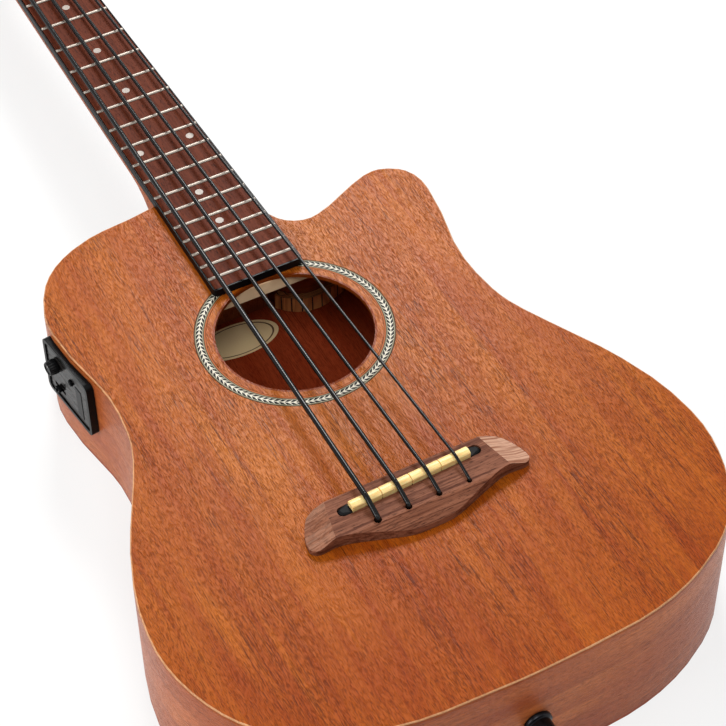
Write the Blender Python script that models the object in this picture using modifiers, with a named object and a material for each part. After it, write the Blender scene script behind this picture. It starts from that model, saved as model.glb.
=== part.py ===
"""Bass ukulele: a cutaway hollow body, a bolt-less set neck with a tilted headstock,
four open-gear tuners, four wound-up strings and a side preamp with its end-pin jack.

Units are metres. The instrument lies on its flat back. +Y runs from the tail to the head,
+X is the treble side with the cutaway, and the origin is on the back, under the saddle line.
Most pieces are drawn in the soundboard's own frame: z = 0 on the soundboard's outer face,
y = 0 at the theoretical saddle line. One empty tips that frame by the body's taper."""

import math

import bmesh
import bpy
from mathutils import Matrix, Vector

# Fits
GAP = 0.0003
RUN = 0.0004

# String length and frets
SCALE_LENGTH = 0.635
FRET_COUNT = 20
BODY_FRET = 14
FRET_WIDTH = 0.0020
FRET_HEIGHT = 0.0010
BOARD_TAIL = 0.0108
BOARD_THICKNESS = 0.0055
BOARD_WIDTH_NUT = 0.0450
BOARD_WIDTH_SADDLE = 0.0686
BINDING_THICKNESS = 0.0014
BOARD_EASE = 0.0025

# Body
TAIL_REACH = 0.1475
LOWER_HALF = 0.1755
WAIST_HALF = 0.1220
UPPER_HALF = 0.1310
HORN_HALF = 0.1340
CUT_DEPTH = 0.0580
HORN_DROP = 0.0647
WAIST_BELOW_HOLE = 0.0020
DEPTH_TAIL = 0.0910
DEPTH_NECK = 0.0780
TOP_THICKNESS = 0.0028
BACK_THICKNESS = 0.0028
SIDE_THICKNESS = 0.0024

# Sound hole and rosette
HOLE_RADIUS = 0.0490
HOLE_UNDER_BOARD = 0.0003
ROSETTE_MARGIN = 0.0057
ROSETTE_WIDTH = 0.0069
ROSETTE_DEPTH = 0.0013
ROSETTE_BREAK = 0.0160

# Inner frame
NECK_BLOCK_LENGTH = 0.0450
TAIL_BLOCK_HALF = 0.0300
TAIL_BLOCK_LENGTH = 0.0160
LINING_THICKNESS = 0.0050
LINING_HEIGHT = 0.0120
LINING_END_GAP = 0.0015
BRACE_WIDTH = 0.0060
BRACE_HEIGHT = 0.0095
BRACE_END_HEIGHT = 0.0030
BRACE_TAPER = 0.0450
UPPER_BRACE_SHOWS = 0.0010
LOWER_BRACE_GAP = 0.0065
FAN_WIDTH = 0.0055
FAN_HEIGHT = 0.0080
FAN_SLOPE = 0.1050
FAN_TAIL_CLEAR = 0.0350
PLATE_HALF = 0.0600
PLATE_TAIL_Y = -0.0360
PLATE_HEAD_Y = 0.0120
PLATE_THICKNESS = 0.0025
BACK_BRACE_WIDTH = 0.0080
BACK_BRACE_HEIGHT = 0.0110
BACK_BRACE_YS = (-0.0300, 0.1050)

# Bridge and saddles
BRIDGE_HEIGHT = 0.0090
BRIDGE_EDGE = 0.0042
BRIDGE_HALF = 0.0715
BRIDGE_HEAD_Y = 0.0060
BRIDGE_BELLY_Y = -0.0345
BRIDGE_WING_Y = -0.0205
BRIDGE_SLOPE_START = 0.0020
WING_START = 0.0505
WING_TIP_HEIGHT = 0.0022
WING_SKEW = math.radians(13)
SADDLE_Y = -0.0036
SADDLE_SLANT = math.radians(2.4)
SADDLE_WIDTH = 0.0060
SADDLE_LENGTH = 0.0195
SADDLE_TOP = 0.0130
STRIP_LENGTH = 0.0946
STRIP_WIDTH = 0.0066
STRIP_FLOOR = 0.0060
STRIP_TOP = 0.0094
STRIP_WEB = 0.0012
STRING_HOLE_Y = -0.0203
STRING_SPACING = 0.0198
HOLE_EASE = 0.0007
BALL_RATIO = 2.0

# Strings, bass to treble
STRING_NAMES = ("e", "a", "d", "g")
STRING_DIAMETERS = (0.0034, 0.0029, 0.0024, 0.0019)
NUT_STRING_SPACING = 0.0112
NUT_THICKNESS = 0.0050
NUT_HEIGHT = 0.0032
NUT_ACTION = 0.0005

# Neck and head
NECK_DEPTH_HEEL = 0.0185
NECK_DEPTH_NUT = 0.0155
HEEL_LENGTH = 0.0360
HEEL_CLEAR = 0.0015
TENON_HALF = 0.0110
TENON_LENGTH = 0.0200
TENON_FOOT = 0.0160
HEAD_ANGLE = math.radians(12)
HEAD_STEP = 0.0005
HEAD_THICKNESS = 0.0150
HEAD_LENGTH = 0.1660
HEAD_HALF = 0.0380
ROD_WIDTH = 0.0056
ROD_DEPTH = 0.0078
ROD_SINK = 0.0022
ROD_HEEL_CLEAR = 0.0080
ROD_TAIL_RADIUS = 0.0022
TRUSS_NUT_RADIUS = 0.0032
TRUSS_NUT_LENGTH = 0.0085
TRUSS_NUT_CLEAR = 0.0015
TRUSS_HEX = 0.0016
POCKET_WIDTH = 0.0094
POCKET_LENGTH = 0.0260
POCKET_DEPTH = 0.0098
COVER_THICKNESS = 0.0018
COVER_MARGIN = 0.0055

# Tuners
POST_NEAR = (0.0240, 0.0560)
POST_FAR = (0.0210, 0.1120)
POST_RADIUS = 0.0040
CAPSTAN_RADIUS = 0.0050
CAPSTAN_FLANGE = 0.0062
CAPSTAN_FOOT = 0.0015
CAPSTAN_HEIGHT = 0.0180
COIL_UNDER_TOP = 0.0055
COIL_SPACE = 0.0005
PLATE_METAL = 0.0012
GEAR_TEETH = 15
GEAR_THICKNESS = 0.0035
TOOTH_FOOT = 0.0020
TOOTH_TIP = 0.0005
MESH_GAP = 0.00035
WORM_OFFSET = 0.0107
WORM_CREST = 0.0032
WORM_ROOT = 0.0022
WORM_LENGTH = 0.0110
KEY_SHAFT = 0.0020
LUG_THICKNESS = 0.0020
LUG_HALF = 0.0040
BUTTON_LENGTH = 0.0200
BUTTON_WIDTH = 0.0170
BUTTON_THICKNESS = 0.0060
BUTTON_STANDOFF = 0.0060

# Preamp on the bass side
PREAMP_FROM_NECK = 0.0929
PREAMP_UNDER_EDGE = 0.0055
PREAMP_LENGTH = 0.0540
PREAMP_HEIGHT = 0.0440
PREAMP_STAND = 0.0036
PREAMP_RIM = 0.0025
PREAMP_CORNER = 0.0040
PREAMP_BODY_LENGTH = 0.0470
PREAMP_LEDGE = 0.0050
PREAMP_BODY_DEPTH = 0.0260
PREAMP_WALL = 0.0014
PANEL_THICKNESS = 0.0012
PANEL_RECESS = 0.0008
KNOB_ALONG = 0.0130
KNOB_UP = 0.0080
KNOB_RADIUS = 0.0050
KNOB_HEIGHT = 0.0085
KNOB_SHAFT = 0.0015
SLIDER_ALONG = 0.0120
SLIDER_MARGIN = 0.0050
SLIDER_TRAVEL = 0.0050
SLIDER_SIZE = (0.0022, 0.0024)
SLIDER_REACH = 0.0050
BUTTON_ALONG = -0.0050
BUTTON_UP = 0.0080
BUTTON_RADIUS = 0.0022
BUTTON_REACH = 0.0018
TRAY_ALONG = -0.0135
TRAY_MARGIN = 0.0020
TRAY_LENGTH = 0.0070
TRAY_EDGE = 0.0020
TRAY_END_WALL = 0.0015
TRAY_FLOOR = 0.0012
CELL_RADIUS = 0.0100
CELL_THICKNESS = 0.0032

# End-pin jack
JACK_Z = -0.0470
JACK_RADIUS = 0.0060
JACK_INNER = 0.0200
JACK_OUTER = 0.0150
JACK_BORE = 0.0036
COLLAR_FLANGE = 0.0028
COLLAR_THICKNESS = 0.0030
BOSS_WALL = 0.0016
BOSS_THICKNESS = 0.0035

# How far cutters run on past what they cut
BEYOND = 0.05

# Facets of round pieces, and how far the outline's chords may stand off its curve
FINE = 48
ROUND = 20
COARSE = 10
CHORD_ERROR = 0.00025

# Sizes that follow from the ones above


def fret_y(number):
    """Distance of a fret from the saddle line."""
    return SCALE_LENGTH * 2 ** (-number / 12)


NECK_Y = fret_y(BODY_FRET)
TAIL_Y = -TAIL_REACH
TAPER = (DEPTH_TAIL - DEPTH_NECK) / (NECK_Y - TAIL_Y)
NUT_Y = SCALE_LENGTH
BOARD_END = fret_y(FRET_COUNT) - BOARD_TAIL
HOLE_Y = BOARD_END + HOLE_UNDER_BOARD - HOLE_RADIUS
WAIST_Y = HOLE_Y - WAIST_BELOW_HOLE
FAN_SPREAD = STRING_SPACING
GEAR_TIP = WORM_OFFSET - WORM_ROOT - MESH_GAP
GEAR_ROOT = WORM_OFFSET - WORM_CREST - MESH_GAP
COIL_TOP = CAPSTAN_HEIGHT - COIL_UNDER_TOP
COLLAR_RADIUS = JACK_RADIUS + COLLAR_FLANGE
BOSS_RADIUS = JACK_RADIUS + BOSS_WALL
PREAMP_Z = -PREAMP_UNDER_EDGE - PREAMP_HEIGHT / 2
PREAMP_BODY_HEIGHT = PREAMP_HEIGHT - 2 * PREAMP_LEDGE
SLIDER_DOWN = PREAMP_BODY_HEIGHT / 2 - SLIDER_MARGIN
TRAY_HEIGHT = 2 * (CELL_RADIUS + TRAY_EDGE)
TRAY_DOWN = (PREAMP_BODY_HEIGHT - TRAY_HEIGHT) / 2 - TRAY_MARGIN
TRAY_DEPTH = 2 * CELL_RADIUS + TRAY_FLOOR + TRAY_END_WALL
ROSETTE_INNER = HOLE_RADIUS + ROSETTE_MARGIN
ROSETTE_OUTER = ROSETTE_INNER + ROSETTE_WIDTH
UPPER_BRACE_Y = HOLE_Y + HOLE_RADIUS - UPPER_BRACE_SHOWS + BRACE_WIDTH / 2
LOWER_BRACE_Y = HOLE_Y - HOLE_RADIUS - LOWER_BRACE_GAP - BRACE_WIDTH / 2
PREAMP_Y = NECK_Y - PREAMP_FROM_NECK
BOARD_TOP = GAP + BOARD_THICKNESS
INNER_TOP = -TOP_THICKNESS - GAP
HEAD_Y = NUT_Y + NUT_THICKNESS


def back_face(y):
    """Height of the back's outer face at y, in the soundboard's frame."""
    return -DEPTH_TAIL + TAPER * (y - TAIL_Y)


def back_inner(y):
    """Height just inside the back plate."""
    return back_face(y) + BACK_THICKNESS + GAP


def board_half(y):
    """Half the bound fretboard's width at y."""
    share = (NUT_Y - y) / NUT_Y
    return (BOARD_WIDTH_NUT + (BOARD_WIDTH_SADDLE - BOARD_WIDTH_NUT) * share) / 2


NECK_BLOCK_HALF = board_half(NECK_Y) - SIDE_THICKNESS - GAP
NECK_BLOCK_HEAD = NECK_Y - SIDE_THICKNESS - GAP
NECK_BLOCK_TAIL = NECK_BLOCK_HEAD - NECK_BLOCK_LENGTH

# Scene, materials and small helpers


def clear_scene():
    for item in list(bpy.data.objects):
        bpy.data.objects.remove(item, do_unlink=True)


def new_collection(name):
    group = bpy.data.collections.new(name)
    bpy.context.scene.collection.children.link(group)
    return group


clear_scene()
PARTS = new_collection("bass_ukulele")
CUTTERS = new_collection("cutters")


def finish(name, colour, roughness, metallic=0.0):
    """A Principled material from a linear colour."""
    made = bpy.data.materials.new(name)
    made.use_nodes = True
    shader = made.node_tree.nodes["Principled BSDF"]
    shader.inputs["Base Color"].default_value = (*colour, 1.0)
    shader.inputs["Roughness"].default_value = roughness
    shader.inputs["Metallic"].default_value = metallic
    made.diffuse_color = (*colour, 1.0)
    return made


MAHOGANY_TOP = finish("satin_mahogany_top", (0.48, 0.18, 0.065), 0.45)
MAHOGANY_SIDE = finish("satin_mahogany_side", (0.40, 0.15, 0.07), 0.45)
MAHOGANY_NECK = finish("satin_mahogany_neck", (0.33, 0.13, 0.06), 0.45)
ROSEWOOD = finish("rosewood", (0.16, 0.06, 0.04), 0.50)
WALNUT = finish("rosewood_bridge", (0.24, 0.12, 0.08), 0.50)
SPRUCE = finish("spruce", (0.60, 0.42, 0.22), 0.60)
MAPLE = finish("maple", (0.62, 0.47, 0.30), 0.55)
HERRINGBONE = finish("herringbone_inlay", (0.45, 0.42, 0.36), 0.40)
BLACK_PLASTIC = finish("black_plastic", (0.012, 0.012, 0.013), 0.30)
PANEL_GLOSS = finish("gloss_panel", (0.05, 0.05, 0.055), 0.12)
BONE = finish("bone", (0.80, 0.62, 0.25), 0.35)
STRING_BLACK = finish("black_tape_string", (0.010, 0.010, 0.011), 0.25)
BLACK_METAL = finish("black_plated_metal", (0.020, 0.020, 0.022), 0.30, 1.0)
STEEL = finish("steel", (0.45, 0.45, 0.46), 0.30, 1.0)


def frame_empty(name, parent, location, rotation=(0, 0, 0)):
    """An empty that carries a frame, and keeps its children's own numbers."""
    item = bpy.data.objects.new(name, None)
    PARTS.objects.link(item)
    item.parent = parent
    item.location = location
    item.rotation_euler = rotation
    return item


TIP_ANGLE = math.atan(TAPER)
BODY_FRAME = frame_empty(
    "body_frame", None, (0, 0, -back_face(0) * math.cos(TIP_ANGLE)), (-TIP_ANGLE, 0, 0)
)
HEAD_FRAME = frame_empty(
    "head_frame", BODY_FRAME, (0, HEAD_Y, -HEAD_STEP), (-HEAD_ANGLE, 0, 0)
)
SADDLE_FRAME = frame_empty("saddle_frame", BODY_FRAME, (0, SADDLE_Y, 0), (0, 0, SADDLE_SLANT))


def place(item, parent, material=None, location=(0, 0, 0), rotation=(0, 0, 0)):
    """Put an object in the model, or, without a material, among the cutters."""
    item.parent = parent
    item.location = location
    item.rotation_euler = rotation
    if material is None:
        CUTTERS.objects.link(item)
        item.hide_render = True
        item.display_type = "WIRE"
    else:
        PARTS.objects.link(item)
        item.data.materials.clear()
        item.data.materials.append(material)
    return item


def from_bmesh(name, bm):
    mesh = bpy.data.meshes.new(name)
    bm.to_mesh(mesh)
    bm.free()
    return bpy.data.objects.new(name, mesh)


def smooth(item, angle=32):
    """Shade a round piece smooth, with its real edges kept sharp."""
    item.data.shade_smooth()
    item.data.set_sharp_from_angle(angle=math.radians(angle))
    return item


def boolean(target, other, operation):
    step = target.modifiers.new(operation.lower() + "_" + other.name, "BOOLEAN")
    step.operation = operation
    step.solver = "EXACT"
    step.object = other


def cut(target, cutter):
    boolean(target, cutter, "DIFFERENCE")


def join(target, other):
    boolean(target, other, "UNION")


def box(name, low, high):
    """A block between two corners, its origin at the frame's own."""
    bm = bmesh.new()
    low = Vector(low)
    high = Vector(high)
    size = Matrix.Diagonal((*(high - low), 1))
    bmesh.ops.create_cube(bm, size=1, matrix=Matrix.Translation((low + high) / 2) @ size)
    return from_bmesh(name, bm)


def cylinder(name, radius, length, sides, radius_far=None):
    """A round bar up +Z from the object's origin."""
    bm = bmesh.new()
    far = radius if radius_far is None else radius_far
    bmesh.ops.create_cone(
        bm,
        cap_ends=True,
        segments=sides,
        radius1=radius,
        radius2=far,
        depth=length,
        matrix=Matrix.Translation((0, 0, length / 2)),
    )
    return from_bmesh(name, bm)


def turned(name, profile, sides, ring=False):
    """A turned piece: the profile (radius, height) runs down its outer side."""
    bm = bmesh.new()
    points = [bm.verts.new((radius, 0, height)) for radius, height in profile]
    for upper, lower in zip(points, points[1:]):
        bm.edges.new((upper, lower))
    if ring:
        bm.edges.new((points[-1], points[0]))
    item = from_bmesh(name, bm)
    screw = item.modifiers.new("turn", "SCREW")
    screw.steps = sides
    screw.render_steps = sides
    screw.use_merge_vertices = True
    screw.merge_threshold = 0.00001
    screw.use_smooth_shade = True
    return item


def mesh_from_curve(curve_item):
    """A curve's own solid as a mesh, with its caps welded on."""
    bpy.context.scene.collection.objects.link(curve_item)
    bpy.context.view_layer.update()
    graph = bpy.context.evaluated_depsgraph_get()
    mesh = bpy.data.meshes.new_from_object(curve_item.evaluated_get(graph))
    bm = bmesh.new()
    bm.from_mesh(mesh)
    bmesh.ops.remove_doubles(bm, verts=bm.verts, dist=0.000002)
    bm.to_mesh(mesh)
    bm.free()
    name = curve_item.name
    bpy.data.objects.remove(curve_item, do_unlink=True)
    mesh.name = name
    return bpy.data.objects.new(name, mesh)


def plate(name, loops, low, high):
    """A flat piece from closed outlines; an outline inside another is a hole."""
    curve = bpy.data.curves.new(name, "CURVE")
    curve.dimensions = "2D"
    curve.fill_mode = "BOTH"
    curve.extrude = (high - low) / 2
    for loop in loops:
        line = curve.splines.new("POLY")
        line.points.add(len(loop) - 1)
        for point, (x, y) in zip(line.points, loop):
            point.co = (x, y, 0, 1)
        line.use_cyclic_u = True
    item = mesh_from_curve(bpy.data.objects.new(name, curve))
    item.data.transform(Matrix.Translation((0, 0, (low + high) / 2)))
    return item


def tube(name, points, radius, resolution, radii=None):
    """A round wire along the points, with filled ends."""
    curve = bpy.data.curves.new(name, "CURVE")
    curve.dimensions = "3D"
    curve.bevel_depth = radius
    curve.bevel_resolution = resolution
    curve.use_fill_caps = True
    line = curve.splines.new("POLY")
    line.points.add(len(points) - 1)
    for index, (point, place_at) in enumerate(zip(line.points, points)):
        point.co = (*place_at, 1)
        point.radius = radii[index] if radii else 1.0
    return smooth(mesh_from_curve(bpy.data.objects.new(name, curve)), 60)


def circle(radius, centre, sides):
    turn = 2 * math.pi / sides
    return [
        (centre[0] + radius * math.cos(step * turn), centre[1] + radius * math.sin(step * turn))
        for step in range(sides)
    ]


def rounded_rectangle(length, height, radius, centre=(0, 0), steps=4):
    """Corners as quarter circles, counter-clockwise."""
    points = []
    for quarter, (side_x, side_y) in enumerate(((1, 1), (-1, 1), (-1, -1), (1, -1))):
        mid_x = centre[0] + side_x * (length / 2 - radius)
        mid_y = centre[1] + side_y * (height / 2 - radius)
        for step in range(steps + 1):
            angle = (quarter + step / steps) * math.pi / 2
            points.append((mid_x + radius * math.cos(angle), mid_y + radius * math.sin(angle)))
    return points


def smooth_path(points, steps):
    """Centripetal Catmull-Rom curve through the points."""
    points = [Vector(point) for point in points]
    ends = [points[0] * 2 - points[1], *points, points[-1] * 2 - points[-2]]
    path = []
    for index in range(len(points) - 1):
        p0, p1, p2, p3 = ends[index : index + 4]
        t1 = (p1 - p0).length ** 0.5
        t2 = t1 + (p2 - p1).length ** 0.5
        t3 = t2 + (p3 - p2).length ** 0.5
        for step in range(steps):
            t = t1 + (t2 - t1) * step / steps
            a1 = p0 * ((t1 - t) / t1) + p1 * (t / t1)
            a2 = p1 * ((t2 - t) / (t2 - t1)) + p2 * ((t - t1) / (t2 - t1))
            a3 = p2 * ((t3 - t) / (t3 - t2)) + p3 * ((t - t2) / (t3 - t2))
            b1 = a1 * ((t2 - t) / t2) + a2 * (t / t2)
            b2 = a2 * ((t3 - t) / (t3 - t1)) + a3 * ((t - t1) / (t3 - t1))
            path.append(b1 * ((t2 - t) / (t2 - t1)) + b2 * ((t - t1) / (t2 - t1)))
    path.append(points[-1])
    return [(point[0], point[1]) for point in path]


def thinned(points):
    """The fewest of a curve's points whose chords still follow it closely."""
    kept = [points[0]]
    start = 0
    for end in range(2, len(points)):
        anchor = Vector(points[start])
        along = (Vector(points[end]) - anchor).normalized()
        strays = (abs(along.cross(Vector(point) - anchor)) for point in points[start:end])
        if max(strays) > CHORD_ERROR:
            start = end - 1
            kept.append(points[start])
    return kept + [points[-1]]


def inset_path(points, distance):
    """The path moved to its left by a distance, which is into the body."""
    moved = []
    last = len(points) - 1
    for index, point in enumerate(points):
        before = Vector(points[max(index - 1, 0)])
        here = Vector(point)
        after = Vector(points[min(index + 1, last)])
        first = (here - before).normalized() if index > 0 else (after - here).normalized()
        second = (after - here).normalized() if index < last else first
        middle = (first + second).normalized()
        normal = Vector((-middle.y, middle.x))
        reach = distance / max(middle.dot(first), 0.5)
        moved.append(tuple(here + normal * reach))
    return moved


# The body's outline, counter-clockwise from the neck by the bass side to the tail and back


def bass_side():
    """Waypoints from the neck corner to the tail, past the shoulder and the waist."""
    upper = (
        (0.360, 0.980), (0.560, 0.961), (0.671, 0.931), (0.756, 0.895), (0.831, 0.848),
        (0.893, 0.789), (0.938, 0.722), (0.972, 0.650), (0.994, 0.580), (1.000, 0.505),
    )
    rise = NECK_Y - WAIST_Y
    points = [(-board_half(NECK_Y), NECK_Y)]
    points += [(-UPPER_HALF * x, WAIST_Y + rise * y) for x, y in upper]
    swell = UPPER_HALF - WAIST_HALF
    for x, y in ((0.916, 0.414), (0.789, 0.337), (0.540, 0.250), (0.220, 0.150)):
        points.append((-WAIST_HALF - swell * x, WAIST_Y + rise * y))
    return points + [(-x, y) for x, y in lower_bout()]


def lower_bout():
    """Half the lower bout, from the waist down to the last point before the tail."""
    drop = WAIST_Y - TAIL_Y
    swell = LOWER_HALF - WAIST_HALF
    flare = (
        (0.000, 1.000), (0.070, 0.886), (0.235, 0.807), (0.440, 0.732), (0.705, 0.628),
        (0.892, 0.529), (0.974, 0.454), (1.000, 0.368),
    )
    points = [(WAIST_HALF + swell * x, TAIL_Y + drop * y) for x, y in flare]
    heel = (
        (0.9795, 0.291), (0.9345, 0.215), (0.877, 0.157), (0.795, 0.107), (0.684, 0.0645),
        (0.550, 0.031), (0.410, 0.0118), (0.240, 0.0040),
    )
    return points + [(LOWER_HALF * x, TAIL_Y + drop * y) for x, y in heel]


def treble_side():
    """Waypoints from above the waist round the horn and the cutaway to the neck."""
    rise = NECK_Y - HORN_DROP - WAIST_Y
    swell = HORN_HALF - WAIST_HALF
    points = []
    for x, y in ((0.160, 0.290), (0.500, 0.499), (0.740, 0.671), (0.910, 0.844), (1.000, 1.000)):
        points.append((WAIST_HALF + swell * x, WAIST_Y + rise * y))
    side = board_half(NECK_Y)
    horn = (
        (0.984, 0.943), (0.940, 0.807), (0.867, 0.710), (0.787, 0.664),
        (0.703, 0.680), (0.601, 0.747), (0.497, 0.838), (0.389, 0.926), (0.294, 0.983),
        (0.227, 0.998), (0.158, 0.966), (0.100, 0.900), (0.057, 0.805), (0.024, 0.675),
        (0.006, 0.490), (0.000, 0.250),
    )
    for x, y in horn:
        points.append((side + (HORN_HALF - side) * x, NECK_Y - CUT_DEPTH * y))
    return points + [(side, NECK_Y)]


def body_outline():
    """The whole edge of the body, and the index of its tail point."""
    bass = bass_side() + [(0.0, TAIL_Y)]
    treble = [(x, y) for x, y in reversed(lower_bout())] + treble_side()
    steps = 4
    curve = smooth_path(bass + treble, steps)
    tail = steps * (len(bass) - 1)
    first = thinned(curve[: tail + 1])
    second = thinned(curve[tail:])
    start = (-TENON_HALF - GAP, NECK_Y)
    end = (TENON_HALF + GAP, NECK_Y)
    return [start, *first, *second[1:], end], len(first)


OUTLINE, TAIL_INDEX = body_outline()


def half_outline(side):
    """The bass (-1) or treble (+1) half of the edge, ending at the tail seam."""
    seam = (side * GAP / 2, TAIL_Y)
    if side < 0:
        return OUTLINE[:TAIL_INDEX] + [seam]
    return [seam] + OUTLINE[TAIL_INDEX + 1 :]


def clip_start(points, measure):
    """Drop the points before the measure turns positive, and start right there."""
    index = 0
    while measure(points[index + 1]) <= 0:
        index += 1
    before = Vector(points[index])
    after = Vector(points[index + 1])
    low = measure(points[index])
    if low >= 0:
        return points[index:]
    share = -low / (measure(points[index + 1]) - low)
    return [tuple(before.lerp(after, share)), *points[index + 1 :]]


def clip_ends(points, at_start, at_end):
    clipped = clip_start(points, at_start)
    return clip_start(clipped[::-1], at_end)[::-1]


def wall_x(y, inset, side):
    """Where the inner side of the body stands at y, on the bass or treble side."""
    half = inset_path(half_outline(side), inset)
    crossings = []
    for (x0, y0), (x1, y1) in zip(half, half[1:]):
        if (y0 - y) * (y1 - y) <= 0 and y0 != y1:
            crossings.append(x0 + (x1 - x0) * (y - y0) / (y1 - y0))
    return side * max(abs(x) for x in crossings)


def standing_wall(name, path, tops, bottoms, thickness):
    """An upright strip along a path, thickened towards the inside of the body."""
    bm = bmesh.new()
    upper = [bm.verts.new((x, y, tops(y))) for x, y in path]
    lower = [bm.verts.new((x, y, bottoms(y))) for x, y in path]
    for index in range(len(path) - 1):
        corner = (upper[index], lower[index], lower[index + 1], upper[index + 1])
        bm.faces.new(corner)
    item = from_bmesh(name, bm)
    shell = item.modifiers.new("thickness", "SOLIDIFY")
    shell.thickness = thickness
    shell.offset = -1
    shell.use_even_offset = True
    return item


def shear_to_back(item):
    """Tip a level piece so that it lies along the back's taper."""
    for vertex in item.data.vertices:
        vertex.co.z += back_face(vertex.co.y)
    return item


def string_x(index, spacing):
    return (index - (len(STRING_NAMES) - 1) / 2) * spacing


# Body: plates, sides, blocks, linings and braces


def ring_sector(inner, outer, half_break):
    """A ring round the sound hole, open towards the neck."""
    outline = []
    for radius, direction in ((outer, 1), (inner, -1)):
        start = math.pi / 2 + math.asin(half_break / radius)
        sweep = 2 * math.pi - 2 * math.asin(half_break / radius)
        turns = [start + sweep * step / FINE for step in range(FINE + 1)]
        for angle in turns[::direction]:
            outline.append((radius * math.cos(angle), HOLE_Y + radius * math.sin(angle)))
    return outline


def string_holes():
    """The four holes that the strings rise through, one circle each."""
    holes = []
    for index, diameter in enumerate(STRING_DIAMETERS):
        centre = (string_x(index, STRING_SPACING), STRING_HOLE_Y)
        holes.append(circle(diameter / 2 + HOLE_EASE, centre, COARSE))
    return holes


def build_soundboard():
    hole = circle(HOLE_RADIUS, (0, HOLE_Y), FINE)
    board = plate("soundboard", [OUTLINE, hole, *string_holes()], -TOP_THICKNESS, 0)
    place(board, BODY_FRAME, MAHOGANY_TOP)
    groove = ring_sector(ROSETTE_INNER - GAP, ROSETTE_OUTER + GAP, ROSETTE_BREAK / 2 - GAP)
    cutter = plate("rosette_groove", [groove], -ROSETTE_DEPTH - GAP, GAP)
    cut(board, place(cutter, BODY_FRAME))


def build_rosette():
    ring = plate(
        "rosette",
        [ring_sector(ROSETTE_INNER, ROSETTE_OUTER, ROSETTE_BREAK / 2)],
        -ROSETTE_DEPTH,
        0,
    )
    place(ring, BODY_FRAME, HERRINGBONE)


def build_back():
    board = plate("back", [OUTLINE], 0, BACK_THICKNESS)
    place(shear_to_back(board), BODY_FRAME, MAHOGANY_SIDE)


def preamp_opening(name, grow):
    """The block that the preamp's housing takes out of the side and the lining."""
    length = PREAMP_BODY_LENGTH / 2 + grow
    height = PREAMP_BODY_HEIGHT / 2 + grow
    low = (-PREAMP_STAND, -length, -height)
    high = (PREAMP_BODY_DEPTH + grow, length, height)
    return place(box(name, low, high), PREAMP_FRAME)


def jack_opening(name, radius, length):
    """A bore through the tail, square to it."""
    bore = smooth(cylinder(name, radius, length, ROUND))
    return place(bore, BODY_FRAME, None, (0, TAIL_Y - length / 2, JACK_Z), (-math.pi / 2, 0, 0))


def build_sides():
    for name, side in (("side_bass", -1), ("side_treble", 1)):
        rib = standing_wall(
            name, half_outline(side), lambda y: INNER_TOP, back_inner, SIDE_THICKNESS
        )
        place(rib, BODY_FRAME, MAHOGANY_SIDE)
        cut(rib, jack_opening("jack_hole_" + name, JACK_RADIUS + GAP, 4 * TAIL_BLOCK_LENGTH))
        if side < 0:
            cut(rib, preamp_opening("preamp_hole_side", GAP))


def in_tail_block(point):
    """Positive where a point of the rib lies behind the tail block."""
    return min(TAIL_BLOCK_HALF - abs(point[0]), -point[1])


def build_blocks():
    tenon = TENON_HALF + GAP
    neck_block = box(
        "neck_block",
        (-NECK_BLOCK_HALF, NECK_BLOCK_TAIL, -DEPTH_TAIL),
        (NECK_BLOCK_HALF, NECK_BLOCK_HEAD, INNER_TOP),
    )
    rib = clip_ends(inset_path(OUTLINE, SIDE_THICKNESS + GAP), in_tail_block, in_tail_block)
    head = TAIL_Y + SIDE_THICKNESS + GAP + TAIL_BLOCK_LENGTH
    corners = [(TAIL_BLOCK_HALF, head), (-TAIL_BLOCK_HALF, head)]
    tail_block = plate("tail_block", [rib + corners], -DEPTH_TAIL, INNER_TOP)
    for block in (neck_block, tail_block):
        for vertex in block.data.vertices:
            if vertex.co.z < -DEPTH_TAIL / 2:
                vertex.co.z = back_inner(vertex.co.y)
        place(block, BODY_FRAME, MAHOGANY_SIDE)
    mortise = box(
        "mortise",
        (-tenon, NECK_BLOCK_HEAD - TENON_LENGTH - GAP, tenon_foot() - GAP),
        (tenon, NECK_Y, 0),
    )
    cut(neck_block, place(mortise, BODY_FRAME))
    cut(tail_block, jack_opening("jack_hole_block", JACK_RADIUS + GAP, 4 * TAIL_BLOCK_LENGTH))


def build_linings():
    """Strips that glue the sides to the top and the back, between the blocks."""
    past_neck = NECK_BLOCK_HALF + LINING_END_GAP
    past_tail = TAIL_BLOCK_HALF + LINING_END_GAP
    for side, side_name in ((-1, "bass"), (1, "treble")):
        path = inset_path(half_outline(side), SIDE_THICKNESS + GAP)
        if side < 0:
            path = clip_ends(path, lambda p: -p[0] - past_neck, lambda p: -p[0] - past_tail)
        else:
            path = clip_ends(
                path, lambda p: p[0] - past_tail, lambda p: NECK_BLOCK_TAIL - LINING_END_GAP - p[1]
            )
        upper = standing_wall(
            "lining_top_" + side_name,
            path,
            lambda y: INNER_TOP - GAP,
            lambda y: INNER_TOP - GAP - LINING_HEIGHT,
            LINING_THICKNESS,
        )
        lower = standing_wall(
            "lining_back_" + side_name,
            path,
            lambda y: back_inner(y) + GAP + LINING_HEIGHT,
            lambda y: back_inner(y) + GAP,
            LINING_THICKNESS,
        )
        place(upper, BODY_FRAME, SPRUCE)
        place(lower, BODY_FRAME, SPRUCE)
        if side < 0:
            cut(upper, preamp_opening("preamp_hole_lining", 2 * GAP))


def brace_reach(y, width):
    """The two ends of a brace across the body at y, clear of the linings."""
    inset = SIDE_THICKNESS + 3 * GAP + LINING_THICKNESS
    edges = (y - width / 2, y, y + width / 2)
    return max(wall_x(edge, inset, -1) for edge in edges), min(wall_x(edge, inset, 1) for edge in edges)


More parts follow.
